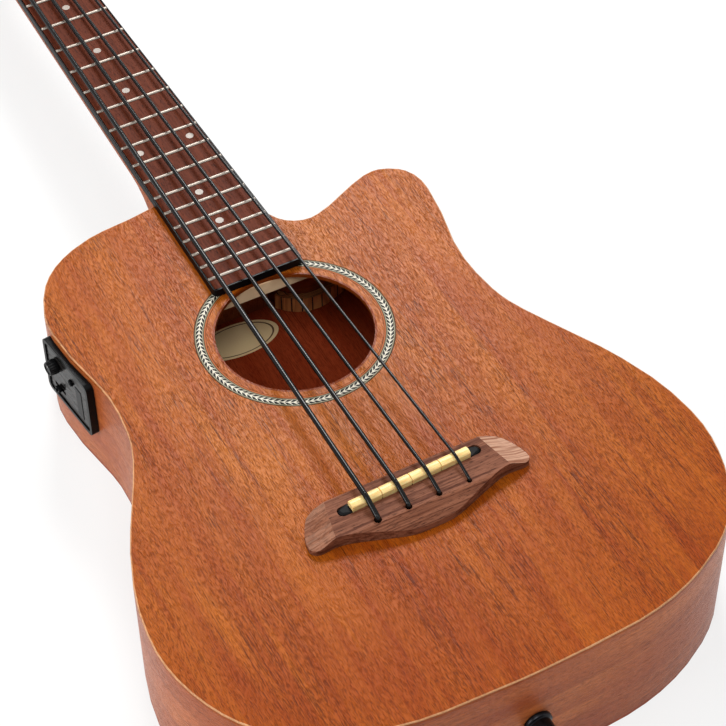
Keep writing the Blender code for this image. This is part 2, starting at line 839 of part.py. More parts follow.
def build_top_braces():
    """Cross braces with ends pared down, standing on edge under the soundboard."""
    for name, y in (("top_brace_upper", UPPER_BRACE_Y), ("top_brace_lower", LOWER_BRACE_Y)):
        left, right = brace_reach(y, BRACE_WIDTH)
        shape = [
            (left, 0), (left, -BRACE_END_HEIGHT), (left + BRACE_TAPER, -BRACE_HEIGHT),
            (right - BRACE_TAPER, -BRACE_HEIGHT), (right, -BRACE_END_HEIGHT), (right, 0),
        ]
        bar = plate(name, [shape], -BRACE_WIDTH / 2, BRACE_WIDTH / 2)
        place(bar, BODY_FRAME, SPRUCE, (0, y, INNER_TOP), (math.pi / 2, 0, 0))


def build_fan_braces():
    """Two long braces that spread from the lower cross brace to near the tail."""
    head = LOWER_BRACE_Y - BRACE_WIDTH / 2 - GAP
    tail = TAIL_Y + FAN_TAIL_CLEAR
    plate_notch = box(
        "bridge_plate_notch",
        (-PLATE_HALF - GAP, PLATE_TAIL_Y - GAP, INNER_TOP - PLATE_THICKNESS - GAP),
        (PLATE_HALF + GAP, PLATE_HEAD_Y + GAP, GAP),
    )
    place(plate_notch, BODY_FRAME)
    for name, side in (("bass", -1), ("treble", 1)):
        shape = []
        for y, edge in ((head, -1), (tail, -1), (tail, 1), (head, 1)):
            centre = side * (FAN_SPREAD + FAN_SLOPE * (STRING_HOLE_Y - y))
            shape.append((centre + edge * FAN_WIDTH / 2, y))
        bar = plate("fan_brace_" + name, [shape], INNER_TOP - FAN_HEIGHT, INNER_TOP)
        place(bar, BODY_FRAME, SPRUCE)
        cut(bar, plate_notch)


def build_bridge_plate():
    corners = [
        (-PLATE_HALF, PLATE_TAIL_Y), (PLATE_HALF, PLATE_TAIL_Y),
        (PLATE_HALF, PLATE_HEAD_Y), (-PLATE_HALF, PLATE_HEAD_Y),
    ]
    loops = [corners, *string_holes()]
    sheet = plate("bridge_plate", loops, INNER_TOP - PLATE_THICKNESS, INNER_TOP)
    place(sheet, BODY_FRAME, MAPLE)


def build_back_braces():
    for name, y in zip(("lower", "upper"), BACK_BRACE_YS):
        left, right = brace_reach(y, BACK_BRACE_WIDTH)
        bar = box(
            "back_brace_" + name,
            (left, y - BACK_BRACE_WIDTH / 2, BACK_THICKNESS + GAP),
            (right, y + BACK_BRACE_WIDTH / 2, BACK_THICKNESS + GAP + BACK_BRACE_HEIGHT),
        )
        place(shear_to_back(bar), BODY_FRAME, SPRUCE)


# Bridge, pickup strip, saddles


def bridge_outline():
    half = (
        (0.17, 0.965), (0.31, 0.760), (0.45, 0.495), (0.58, 0.260), (0.69, 0.080), (0.80, 0.000),
        (0.90, 0.045), (0.960, 0.005),
    )
    drop = BRIDGE_BELLY_Y - BRIDGE_WING_Y
    lower = [(BRIDGE_HALF * x, BRIDGE_WING_Y + drop * y) for x, y in half]
    rise = BRIDGE_HEAD_Y - BRIDGE_WING_Y
    wing = ((1.000, 0.130), (0.985, 0.400), (0.940, 0.680), (0.875, 0.920), (0.800, 1.000))
    lower += [(BRIDGE_HALF * x, BRIDGE_WING_Y + rise * y) for x, y in wing]
    right = smooth_path([(0, BRIDGE_BELLY_Y), *lower], 2)
    left = [(-x, y) for x, y in reversed(right[1:])]
    return right + left


def build_bridge():
    """A batwing bridge: flat in the middle, pared down to the belly and both wings."""
    body = plate("bridge", [bridge_outline(), *string_holes()], GAP, BRIDGE_HEIGHT)
    place(body, BODY_FRAME, WALNUT)
    edge = BRIDGE_BELLY_Y - BRIDGE_SLOPE_START
    start = STRING_HOLE_Y - BRIDGE_SLOPE_START
    shoulder = (edge - start) * 0.45
    fall = BRIDGE_HEIGHT * 0.20
    side_view = [
        (start - shoulder, BEYOND), (start - shoulder, BRIDGE_HEIGHT + fall),
        (start + shoulder, BRIDGE_HEIGHT - fall), (edge, BRIDGE_EDGE), (edge - BEYOND, BRIDGE_EDGE),
        (edge - BEYOND, BEYOND),
    ]
    slope = plate("belly_slope", [side_view], -2 * BEYOND, 2 * BEYOND)
    cut(body, place(slope, BODY_FRAME, None, (0, 0, 0), (math.pi / 2, 0, math.pi / 2)))
    run = BRIDGE_HALF - WING_START
    drop = BRIDGE_HEIGHT - WING_TIP_HEIGHT
    for side in (-1, 1):
        front_view = [
            (-run * 0.45, drop * 0.62), (run * 0.45, -drop * 0.62), (run, -drop),
            (run + BEYOND, -drop), (run + BEYOND, BEYOND), (-run * 0.45, BEYOND),
        ]
        wing_name = "wing_slope_" + ("bass" if side < 0 else "treble")
        wing = plate(wing_name, [front_view], -2 * BEYOND, 2 * BEYOND)
        turn = side * WING_SKEW + (math.pi if side < 0 else 0)
        place(
            wing,
            BODY_FRAME,
            None,
            (side * WING_START, BRIDGE_HEAD_Y, BRIDGE_HEIGHT),
            (math.pi / 2, 0, turn),
        )
        cut(body, wing)
    slot = plate(
        "saddle_slot",
        [rounded_rectangle(STRIP_LENGTH + 2 * GAP, STRIP_WIDTH + 2 * GAP, STRIP_WIDTH / 2)],
        STRIP_FLOOR,
        BEYOND,
    )
    cut(body, place(slot, SADDLE_FRAME))


def build_saddles():
    """A black pickup strip lies in the slot, and four short saddles stand on its web."""
    strip = plate(
        "pickup_strip",
        [rounded_rectangle(STRIP_LENGTH, STRIP_WIDTH, STRIP_WIDTH / 2 - GAP)],
        STRIP_FLOOR + GAP,
        STRIP_TOP,
    )
    place(strip, SADDLE_FRAME, BLACK_PLASTIC)
    row = len(STRING_NAMES) * SADDLE_LENGTH + (len(STRING_NAMES) - 1) * GAP
    web_top = STRIP_FLOOR + GAP + STRIP_WEB
    seat = box(
        "saddle_seat",
        (-row / 2 - GAP, -STRIP_WIDTH, web_top),
        (row / 2 + GAP, STRIP_WIDTH, 2 * STRIP_TOP),
    )
    cut(strip, place(seat, SADDLE_FRAME))
    crown = SADDLE_TOP - 0.0012
    profile = [
        (-SADDLE_WIDTH / 2, web_top + GAP), (SADDLE_WIDTH / 2, web_top + GAP),
        (SADDLE_WIDTH / 2, crown), (SADDLE_WIDTH * 0.3, SADDLE_TOP - 0.0003), (0, SADDLE_TOP),
        (-SADDLE_WIDTH * 0.3, SADDLE_TOP - 0.0003), (-SADDLE_WIDTH / 2, crown),
    ]
    for index, name in enumerate(STRING_NAMES):
        block = plate("saddle_" + name, [profile], -SADDLE_LENGTH / 2, SADDLE_LENGTH / 2)
        centre = string_x(index, SADDLE_LENGTH + GAP)
        place(block, SADDLE_FRAME, BONE, (centre, 0, 0), (math.pi / 2, 0, math.pi / 2))


# Neck, fretboard, nut and truss rod


def tenon_foot():
    return back_inner(NECK_Y) + TENON_FOOT


def neck_section(bm, y, half, depth, square):
    """One D-shaped slice of the neck, flat on top."""
    steps = 14
    ring = []
    for step in range(steps + 1):
        angle = math.pi * step / steps
        across = math.copysign(abs(math.cos(angle)) ** square, math.cos(angle))
        down = abs(math.sin(angle)) ** square
        ring.append(bm.verts.new((half * across, y, -depth * down)))
    return ring


def neck_stations():
    """y, half width, depth and squareness of each slice, from the heel to the nut."""
    start = NECK_Y + GAP
    heel_depth = -back_face(NECK_Y) - HEEL_CLEAR
    rows = []
    for share in (0, 0.04, 0.1, 0.2, 0.34, 0.52, 0.75, 1.0):
        cove = 1 - math.sqrt(1 - (1 - share) ** 2)
        depth = NECK_DEPTH_HEEL + (heel_depth - NECK_DEPTH_HEEL) * cove
        y = start + HEEL_LENGTH * share
        rows.append((y, board_half(y), depth, 1.0))
    shaft = start + HEEL_LENGTH
    for share, square in ((0.35, 0.95), (0.7, 0.95), (0.93, 0.9), (0.965, 0.7), (1.0, 0.45)):
        y = shaft + (HEAD_Y - shaft) * share
        depth = NECK_DEPTH_HEEL + (NECK_DEPTH_NUT - NECK_DEPTH_HEEL) * share
        rows.append((y, board_half(min(y, NUT_Y)), depth, square))
    return rows


def neck_shaft():
    bm = bmesh.new()
    rings = [neck_section(bm, *row) for row in neck_stations()]
    for near, far in zip(rings, rings[1:]):
        count = len(near)
        for index in range(count):
            after = (index + 1) % count
            bm.faces.new((near[index], near[after], far[after], far[index]))
    bm.faces.new(rings[0][::-1])
    bm.faces.new(rings[-1])
    bmesh.ops.recalc_face_normals(bm, faces=bm.faces)
    return from_bmesh("neck", bm)


def head_outline():
    """The headstock's plan in its own frame, y from the nut's back."""
    start = board_half(NUT_Y)
    swell = HEAD_HALF - start
    half = [(start - GAP, -0.002), (start, 0.004)]
    for x, y in ((0.28, 0.084), (0.86, 0.155), (1.0, 0.235)):
        half.append((start + swell * x, HEAD_LENGTH * y))
    for x, y in ((0.985, 0.38), (0.925, 0.61), (0.865, 0.81), (0.78, 0.905), (0.58, 0.965), (0.28, 0.994)):
        half.append((HEAD_HALF * x, HEAD_LENGTH * y))
    right = smooth_path([*half, (0, HEAD_LENGTH)], 2)
    left = [(-x, y) for x, y in reversed(right[:-1])]
    return right + left


def post_place(index):
    """Where a string's post stands in the head's frame."""
    outer = index in (0, len(STRING_NAMES) - 1)
    x, y = POST_NEAR if outer else POST_FAR
    return (-x if index < len(STRING_NAMES) / 2 else x), y


def truss_pocket():
    """The rout behind the nut where the truss rod's nut turns."""
    return place(
        plate(
            "truss_pocket",
            [rounded_rectangle(POCKET_WIDTH, POCKET_LENGTH, POCKET_WIDTH / 3, (0, POCKET_LENGTH / 2))],
            -POCKET_DEPTH,
            BEYOND,
        ),
        HEAD_FRAME,
        None,
        (0, NUT_THICKNESS / 5, 0),
    )


def build_neck():
    shaft = smooth(neck_shaft())
    place(shaft, BODY_FRAME, MAHOGANY_NECK)
    bores = [circle(POST_RADIUS + RUN, post_place(index), ROUND) for index in range(len(STRING_NAMES))]
    head = plate("head_blank", [head_outline(), *bores], -HEAD_THICKNESS, 0)
    join(shaft, place(head, HEAD_FRAME))
    tenon = box(
        "tenon",
        (-TENON_HALF, NECK_BLOCK_HEAD - TENON_LENGTH, tenon_foot()),
        (TENON_HALF, NECK_Y + 10 * GAP, INNER_TOP - GAP),
    )
    join(shaft, place(tenon, BODY_FRAME))
    channel = box(
        "truss_channel",
        (-ROD_WIDTH / 2 - GAP, NECK_Y + ROD_HEEL_CLEAR - GAP, -ROD_SINK - ROD_DEPTH - GAP),
        (ROD_WIDTH / 2 + GAP, NUT_Y, GAP * 2),
    )
    cut(shaft, place(channel, BODY_FRAME))
    outlet = smooth(cylinder("truss_outlet", ROD_TAIL_RADIUS + GAP, 3 * NUT_THICKNESS, COARSE))
    place(outlet, BODY_FRAME, None, (0, NUT_Y - GAP, rod_axis()), (-math.pi / 2, 0, 0))
    cut(shaft, outlet)
    cut(shaft, truss_pocket())


def rod_axis():
    """Height of the truss rod's axis."""
    return -ROD_SINK - ROD_DEPTH / 2


def build_truss_rod():
    rod = box(
        "truss_rod",
        (-ROD_WIDTH / 2, NECK_Y + ROD_HEEL_CLEAR, -ROD_SINK - ROD_DEPTH),
        (ROD_WIDTH / 2, NUT_Y - GAP, -ROD_SINK),
    )
    place(rod, BODY_FRAME, STEEL)
    start = NUT_Y - 3 * GAP
    stud = cylinder("truss_stud", ROD_TAIL_RADIUS, truss_nut_start() - GAP - start, COARSE)
    join(rod, place(stud, BODY_FRAME, None, (0, start, rod_axis()), (-math.pi / 2, 0, 0)))


def truss_nut_start():
    return HEAD_Y + TRUSS_NUT_CLEAR


def build_truss_nut():
    """The rod's adjusting nut, with a socket for a key, and the cover over it."""
    nut = cylinder("truss_nut", TRUSS_NUT_RADIUS, TRUSS_NUT_LENGTH, 6)
    place(nut, BODY_FRAME, STEEL, (0, truss_nut_start(), rod_axis()), (-math.pi / 2, 0, 0))
    socket = cylinder("truss_socket", TRUSS_HEX, TRUSS_NUT_LENGTH, 6)
    start = truss_nut_start() + TRUSS_NUT_LENGTH / 3
    cut(nut, place(socket, BODY_FRAME, None, (0, start, rod_axis()), (-math.pi / 2, 0, 0)))
    width = POCKET_WIDTH + 2 * COVER_MARGIN
    tail = GAP
    head = POCKET_LENGTH + COVER_MARGIN
    outline = [
        (-width * 0.42, tail), (width * 0.42, tail), (width / 2, head * 0.45), (width * 0.36, head * 0.8),
        (0, head), (-width * 0.36, head * 0.8), (-width / 2, head * 0.45),
    ]
    cover = plate("truss_cover", [outline], GAP, GAP + COVER_THICKNESS)
    place(cover, HEAD_FRAME, BLACK_PLASTIC)


def board_outline(inset, head_inset):
    """The fretboard's plan, its tail corners eased."""
    ease = BOARD_EASE
    half_tail = board_half(BOARD_END) - inset
    half_nut = board_half(NUT_Y) - inset
    tail = BOARD_END + inset
    return [
        (-half_nut, NUT_Y - head_inset), (-half_tail, tail + ease),
        (-half_tail + ease * 0.3, tail + ease * 0.3), (-half_tail + ease, tail),
        (half_tail - ease, tail), (half_tail - ease * 0.3, tail + ease * 0.3),
        (half_tail, tail + ease), (half_nut, NUT_Y - head_inset),
    ]


def build_fretboard():
    """The board and its frets, pressed in and ending short of the binding."""
    inset = BINDING_THICKNESS + GAP
    board = plate("fretboard", [board_outline(inset, GAP)], GAP, BOARD_TOP)
    place(board, BODY_FRAME, ROSEWOOD)
    for number in range(1, FRET_COUNT + 1):
        y = fret_y(number)
        length = 2 * (board_half(y) - inset - GAP)
        wire = cylinder("fret_{:02d}".format(number), 1, length, 10)
        wire.data.transform(Matrix.Diagonal((FRET_HEIGHT, FRET_WIDTH / 2, 1, 1)))
        place(wire, BODY_FRAME, None, (-length / 2, y, BOARD_TOP), (0, math.pi / 2, 0))
        join(board, wire)
    strip = plate("fretboard_binding", [board_outline(0, GAP)], GAP, BOARD_TOP)
    place(strip, BODY_FRAME, BLACK_PLASTIC)
    core = board_outline(BINDING_THICKNESS, 0)
    core[0] = (core[0][0], NUT_Y + BEYOND)
    core[-1] = (core[-1][0], NUT_Y + BEYOND)
    cut(strip, place(plate("binding_core", [core], -BEYOND, BEYOND), BODY_FRAME))


def nut_slot_z():
    """Height of the strings' undersides in the nut."""
    return BOARD_TOP + FRET_HEIGHT + NUT_ACTION


def nut_groove(name, index, crown, far):
    """A round-bottomed groove from a string's crown in the nut towards a far point."""
    radius = STRING_DIAMETERS[index] / 2 + GAP
    turns = [math.pi * step / 6 for step in range(7)]
    slot = [(radius * math.cos(turn), -radius * math.sin(turn)) for turn in turns]
    slot += [(-radius, BRIDGE_HEIGHT), (radius, BRIDGE_HEIGHT)]
    groove = plate("nut_slot_" + name, [slot], -GAP, NUT_THICKNESS * 2)
    along = (far - crown).normalized()
    across = Vector((0, 0, 1)).cross(along).normalized()
    turn = Matrix((across, along.cross(across), along)).transposed()
    return place(groove, BODY_FRAME, None, crown, turn.to_euler())


def build_nut():
    half = board_half(NUT_Y) - GAP
    top = BOARD_TOP + NUT_HEIGHT
    side_view = [
        (NUT_Y, GAP), (HEAD_Y, GAP), (HEAD_Y, top - 0.0018), (HEAD_Y - 0.0012, top - 0.0006),
        (NUT_Y + 0.0008, top), (NUT_Y, top - 0.0005),
    ]
    nut = plate("nut", [side_view], -half, half)
    place(nut, BODY_FRAME, BONE, (0, 0, 0), (math.pi / 2, 0, math.pi / 2))
    for index, name in enumerate(STRING_NAMES):
        saddle, crown, post_side = string_bends(index)
        for end, far in (("front", saddle), ("rear", post_side)):
            cut(nut, nut_groove(name + "_" + end, index, crown, far))


# Strings and their windings


def string_bends(index):
    """Where a string's centre line bends: on its saddle, in the nut and beside its post."""
    radius = STRING_DIAMETERS[index] / 2
    x_saddle = string_x(index, STRING_SPACING)
    saddle_y = SADDLE_Y + x_saddle * math.tan(SADDLE_SLANT)
    saddle = Vector((x_saddle, saddle_y, SADDLE_TOP + GAP + radius))
    crown_y = NUT_Y + NUT_THICKNESS / 4
    crown = Vector((string_x(index, NUT_STRING_SPACING), crown_y, nut_slot_z() + radius))
    to_head = head_matrix()
    start = tangent_angle(index, to_head.inverted() @ crown)
    return saddle, crown, to_head @ on_post(index, start, COIL_TOP)


def loop_radius(index):
    return CAPSTAN_RADIUS + STRING_DIAMETERS[index] / 2 + GAP + RUN / 4


def tangent_angle(index, nut_point):
    """Direction, from the post, of the point where the string first meets it."""
    centre = Vector(post_place(index))
    span = centre - Vector(nut_point[:2])
    lean = math.asin(loop_radius(index) / span.length)
    heading = math.atan2(span.y, span.x)
    if centre.x < 0:
        return heading - lean - math.pi / 2
    return heading + lean + math.pi / 2


def wrap_direction(index):
    return 1 if post_place(index)[0] < 0 else -1


def on_post(index, angle, height):
    """A point on the winding's centre line, in the head's frame."""
    x, y = post_place(index)
    radius = loop_radius(index)
    return Vector((x + radius * math.cos(angle), y + radius * math.sin(angle), height))


def least_gap(points, diameter):
    """The smallest distance between two stretches of one tube, skin to skin."""
    dense = []
    for here, after in zip(points, points[1:]):
        count = max(1, math.ceil((after - here).length / diameter))
        dense += [here.lerp(after, step / count) for step in range(count)]
    dense.append(points[-1])
    along = [0.0]
    for here, after in zip(dense, dense[1:]):
        along.append(along[-1] + (after - here).length)
    least = 1.0
    for first in range(len(dense)):
        for second in range(first + 1, len(dense)):
            if along[second] - along[first] > 3 * diameter:
                least = min(least, (dense[first] - dense[second]).length - diameter)
    return least


def head_matrix():
    """From the head's frame to the soundboard's."""
    turn = Matrix.Rotation(-HEAD_ANGLE, 4, "X")
    return Matrix.Translation((0, HEAD_Y, -HEAD_STEP)) @ turn


def string_route(index):
    """Ball end under the plate, up the hole, over the saddle and nut, and round the post."""
    diameter = STRING_DIAMETERS[index]
    radius = diameter / 2
    x_hole = string_x(index, STRING_SPACING)
    ball = BALL_RATIO * radius
    top = INNER_TOP - PLATE_THICKNESS - GAP
    radii = [0.5, 0.87 * BALL_RATIO, BALL_RATIO, 0.87 * BALL_RATIO, 1.0]
    points = [Vector((x_hole, STRING_HOLE_Y, top - ball * (1.9 - 0.45 * step))) for step in range(5)]
    saddle, crown, meet = string_bends(index)
    bend = radius + HOLE_EASE
    rim = Vector((x_hole, STRING_HOLE_Y + bend, BRIDGE_HEIGHT))
    onto = saddle - Vector((0, SADDLE_WIDTH * 0.35, GAP / 2))
    reach = onto - rim
    last = math.atan2(reach.z, reach.y) + math.acos(bend / reach.length)
    for step in range(5):
        angle = math.pi + (last - math.pi) * step / 4
        points.append(rim + bend * Vector((0, math.cos(angle), math.sin(angle))))
    points += [onto, saddle, saddle.lerp(crown, 0.006), crown, crown.lerp(meet, 0.5)]
    to_head = head_matrix()
    start = tangent_angle(index, to_head.inverted() @ crown)
    turn = wrap_direction(index) * 2 * math.pi / 24
    points += [to_head @ on_post(index, start + step * turn, COIL_TOP) for step in range(19)]
    radii += [1.0] * (len(points) - len(radii))
    return points, radii, start


def build_string(index):
    points, radii, _ = string_route(index)
    name = "string_" + STRING_NAMES[index]
    wire = tube(name, points, STRING_DIAMETERS[index] / 2, 2, radii)
    place(wire, BODY_FRAME, STRING_BLACK)
    gap = least_gap(points[-21:], STRING_DIAMETERS[index])
    print(name, "least gap to itself on the post, mm:", round(gap * 1000, 2))


def build_winding(index):
    """The turns that ride on the post, below the string's own last turn."""
    diameter = STRING_DIAMETERS[index]
    _, _, start = string_route(index)
    x, y = post_place(index)
    pitch = diameter + COIL_SPACE
    first = COIL_TOP - pitch
    room = first - (CAPSTAN_FOOT + diameter / 2 + GAP)
    turns = math.floor(4 * room / pitch) / 4
    direction = wrap_direction(index)
    begin = start + direction * 1.5 * math.pi
    points = []
    for step in range(int(turns * 24) + 1):
        angle = begin + direction * step * 2 * math.pi / 24
        height = first - pitch * step / 24
        points.append(on_post(index, angle, height) - Vector((x, y, 0)))
    name = "winding_" + STRING_NAMES[index]
    coil = tube(name, points, diameter / 2, 1)
    place(coil, HEAD_FRAME, STRING_BLACK, (x, y, 0))
    gap = least_gap(points, diameter)
    print(name, "least gap to itself, mm:", round(gap * 1000, 2))


# Tuners


def gear_plane():
    """Height of the worm's axis and of the gear's middle, in the head's frame."""
    return -HEAD_THICKNESS - GAP - PLATE_METAL - GAP - WORM_CREST


def gear_outline():
    """Teeth narrow enough to sit between the worm's threads with play."""
    points = []
    pitch = 2 * math.pi / GEAR_TEETH
    flank = TOOTH_FOOT / 2 / GEAR_ROOT
    tip = TOOTH_TIP / 2 / GEAR_TIP
    for tooth in range(GEAR_TEETH):
        centre = -math.pi / 2 + (tooth + 0.5) * pitch
        for radius, offset in (
            (GEAR_ROOT, -flank), (GEAR_TIP, -tip), (GEAR_TIP, tip), (GEAR_ROOT, flank),
        ):
            angle = centre + offset
            points.append((radius * math.cos(angle), radius * math.sin(angle)))
    return points


def build_tuner_post(index):
    """A capstan on a post through the head, with its gear on the back."""
    x, y = post_place(index)
    name = STRING_NAMES[index]
    mid = gear_plane()
    low = mid - GEAR_THICKNESS / 2 - 0.0012
    collar = mid + GEAR_THICKNESS / 2
    plate_back = -HEAD_THICKNESS - GAP - PLATE_METAL - GAP
    profile = [
        (0, CAPSTAN_HEIGHT), (CAPSTAN_RADIUS, CAPSTAN_HEIGHT - 0.0003),
        (CAPSTAN_FLANGE, CAPSTAN_HEIGHT - 0.0012), (CAPSTAN_FLANGE, CAPSTAN_HEIGHT - 0.0022),
        (CAPSTAN_RADIUS, CAPSTAN_HEIGHT - 0.0030), (CAPSTAN_RADIUS, CAPSTAN_FOOT + 0.0002),
        (CAPSTAN_FLANGE, CAPSTAN_FOOT), (CAPSTAN_FLANGE, GAP), (POST_RADIUS, GAP),
        (POST_RADIUS, plate_back + GAP / 2), (POST_RADIUS, collar), (0.0030, collar),
        (0.0030, mid - GEAR_THICKNESS / 2), (0.0030, low), (0, low),
    ]
    post = turned("tuner_post_" + name, profile, COARSE + 4)
    place(post, HEAD_FRAME, BLACK_METAL, (x, y, 0))
    gear = plate("gear_" + name, [gear_outline()], mid - GEAR_THICKNESS / 2, collar)
    join(post, place(gear, HEAD_FRAME, None, (x, y, 0)))


def worm_mesh(name, length):
    """A single-start screw: each slice is a circle pushed out on one side."""
    sides = 8
    per_turn = 6
    lead = 2 * math.pi * (GEAR_TIP + GEAR_ROOT) / 2 / GEAR_TEETH
    steps = int(round(length / lead * per_turn))
    middle = (WORM_CREST + WORM_ROOT) / 2
    swing = (WORM_CREST - WORM_ROOT) / 2
    bm = bmesh.new()
    rings = []
    for step in range(steps + 1):
        along = (step - steps / 2) * lead / per_turn
        ring = []
        for side in range(sides):
            angle = 2 * math.pi * side / sides
            radius = middle + swing * math.cos(angle - 2 * math.pi * along / lead)
            ring.append(bm.verts.new((along, radius * math.cos(angle), radius * math.sin(angle))))
        rings.append(ring)
    for near, far in zip(rings, rings[1:]):
        for side in range(sides):
            after = (side + 1) % sides
            bm.faces.new((near[side], near[after], far[after], far[side]))
    bm.faces.new(rings[0][::-1])
    bm.faces.new(rings[-1])
    bmesh.ops.recalc_face_normals(bm, faces=bm.faces)
    return from_bmesh(name, bm)


def build_tuner_key(index):
    """Worm, shaft and button in one, on an axis across the head."""
    x, y = post_place(index)
    name = STRING_NAMES[index]
    side = -1 if x < 0 else 1
    axis = (x, y - WORM_OFFSET, gear_plane())
    reach = HEAD_HALF - abs(x) + BUTTON_STANDOFF
    shaft = cylinder("tuner_key_" + name, KEY_SHAFT, reach + WORM_LENGTH / 2 + 2 * LUG_THICKNESS, COARSE)
    inner = -(WORM_LENGTH / 2 + 2 * LUG_THICKNESS)
    turn = Matrix.Rotation(side * math.pi / 2, 4, "Y") @ Matrix.Translation((0, 0, inner))
    shaft.data.transform(turn)
    place(smooth(shaft), HEAD_FRAME, BLACK_METAL, axis)
    join(shaft, place(worm_mesh("worm_" + name, WORM_LENGTH), HEAD_FRAME, None, axis))
    bm = bmesh.new()
    bmesh.ops.create_uvsphere(bm, u_segments=12, v_segments=6, radius=1)
    size = (BUTTON_LENGTH / 2, BUTTON_WIDTH / 2, BUTTON_THICKNESS / 2)
    centre = Matrix.Translation((side * (reach + BUTTON_LENGTH / 2 - 0.002), 0, 0))
    bmesh.ops.transform(bm, matrix=centre @ Matrix.Diagonal((*size, 1)), verts=bm.verts)
    join(shaft, place(smooth(from_bmesh("key_button_" + name, bm)), HEAD_FRAME, None, axis))


def build_tuner_plate(index):
    """The mounting plate on the head's back, with two lugs that carry the worm."""
    x, y = post_place(index)
    name = STRING_NAMES[index]
    high = -HEAD_THICKNESS - GAP
    low = high - PLATE_METAL
    length_x = WORM_LENGTH / 2 + LUG_THICKNESS + 3 * GAP
    tail = -WORM_OFFSET - LUG_HALF - PLATE_METAL
    front = CAPSTAN_FLANGE + 2 * PLATE_METAL
    corners = [(-length_x, tail), (length_x, tail), (length_x, front), (-length_x, front)]
    bore = circle(POST_RADIUS + RUN, (0, 0), ROUND)
    base = plate("tuner_plate_" + name, [corners, bore], low, high)
    place(base, HEAD_FRAME, BLACK_METAL, (x, y, 0))
    for side in (-1, 1):
        inner = WORM_LENGTH / 2 + 2 * GAP
        edges = sorted((side * inner, side * (inner + LUG_THICKNESS)))
        lug = box(
            "lug_{}_{}".format(name, "in" if side < 0 else "out"),
            (edges[0], -WORM_OFFSET - LUG_HALF, gear_plane() - LUG_HALF),
            (edges[1], -WORM_OFFSET + LUG_HALF, low + PLATE_METAL / 2),
        )
        join(base, place(lug, HEAD_FRAME, None, (x, y, 0)))
    bearing = cylinder("bearing_" + name, KEY_SHAFT + GAP, 4 * WORM_LENGTH, COARSE)
    bearing.data.transform(Matrix.Translation((0, 0, -2 * WORM_LENGTH)))
    place(bearing, HEAD_FRAME, None, (x, y - WORM_OFFSET, gear_plane()), (0, math.pi / 2, 0))
    cut(base, bearing)


# Preamp


def preamp_seat():
    """A frame level with the bass side's outermost point and square to the chord it spans."""
    ends = []
    for y in (PREAMP_Y - PREAMP_LENGTH / 2, PREAMP_Y + PREAMP_LENGTH / 2):
        ends.append(Vector((wall_x(y, 0, -1), y)))
    along = (ends[1] - ends[0]).normalized()
    out = Vector((-along.y, along.x))
    spanned = [Vector(point) for point in half_outline(-1) if ends[0].y < point[1] < ends[1].y]
    bulge = max((point - ends[0]).dot(out) for point in spanned)
    centre = (ends[0] + ends[1]) / 2 + out * bulge
    return (centre.x, centre.y, PREAMP_Z), (0, 0, math.atan2(-along.x, along.y))


PREAMP_FRAME = frame_empty("preamp_place", BODY_FRAME, *preamp_seat())


def upright(name, loops, low, high, material, location=(0, 0, 0)):
    """A plate that faces outwards: drawn as (along, up), thick from low to high inwards."""
    item = plate(name, loops, low, high)
    turn = Matrix(((0, 0, 1, 0), (1, 0, 0, 0), (0, 1, 0, 0), (0, 0, 0, 1)))
    item.data.transform(turn)
    return place(item, PREAMP_FRAME, material, location)


def panel_low():
    """Outer face of the recessed panel."""
    return -PREAMP_STAND + PANEL_RECESS


def panel_high():
    return panel_low() + PANEL_THICKNESS


def build_preamp_housing():
    """One moulding: a frame on the outside of the body and a box inside it."""
    frame = [rounded_rectangle(PREAMP_LENGTH, PREAMP_HEIGHT, PREAMP_CORNER)]
    housing = upright("preamp_housing", frame, -PREAMP_STAND, PREAMP_STAND, BLACK_PLASTIC)
    body = [rounded_rectangle(PREAMP_BODY_LENGTH, PREAMP_BODY_HEIGHT, PREAMP_CORNER / 2)]
    rim = plate("body_bulge", [inset_path(OUTLINE, -GAP)], -DEPTH_TAIL - BEYOND, BEYOND)
    cut(housing, place(rim, BODY_FRAME))
    join(housing, upright("preamp_box", body, -PREAMP_STAND / 2, PREAMP_BODY_DEPTH, None))
    length = PREAMP_LENGTH - 2 * PREAMP_RIM
    height = PREAMP_HEIGHT - 2 * PREAMP_RIM
    seat = [rounded_rectangle(length, height, PREAMP_CORNER - PREAMP_RIM / 2)]
    cut(housing, upright("panel_seat", seat, -BEYOND, panel_high() + GAP, None))
    length = PREAMP_BODY_LENGTH - 2 * PREAMP_WALL
    height = PREAMP_BODY_HEIGHT - 2 * PREAMP_WALL
    hollow = [rounded_rectangle(length, height, PREAMP_WALL)]
    cut(housing, upright("preamp_hollow", hollow, -BEYOND, PREAMP_BODY_DEPTH - PREAMP_WALL, None))


def slider_window():
    length = SLIDER_SIZE[0] + 2 * SLIDER_TRAVEL + 2 * RUN
    return rounded_rectangle(length, SLIDER_SIZE[1] + 2 * RUN, RUN, (SLIDER_ALONG, -SLIDER_DOWN), 2)


def tray_window():
    size = (TRAY_LENGTH + 2 * RUN, TRAY_HEIGHT + 2 * RUN)
    return rounded_rectangle(*size, RUN, (TRAY_ALONG, -TRAY_DOWN), 2)


def build_preamp_panel():
    length = PREAMP_LENGTH - 2 * PREAMP_RIM - 2 * GAP
    height = PREAMP_HEIGHT - 2 * PREAMP_RIM - 2 * GAP
    loops = [
        rounded_rectangle(length, height, PREAMP_CORNER - PREAMP_RIM / 2),
        circle(KNOB_SHAFT + RUN, (KNOB_ALONG, KNOB_UP), COARSE),
        circle(BUTTON_RADIUS + RUN, (BUTTON_ALONG, BUTTON_UP), COARSE),
        slider_window(),
        tray_window(),
    ]
    upright("preamp_panel", loops, panel_low(), panel_high(), PANEL_GLOSS)


def facing_out(name, profile, sides, material, along, up):
    """A turned piece whose axis points out of the panel."""
    item = turned(name, profile, sides)
    return place(item, PREAMP_FRAME, material, (0, along, up), (0, -math.pi / 2, 0))


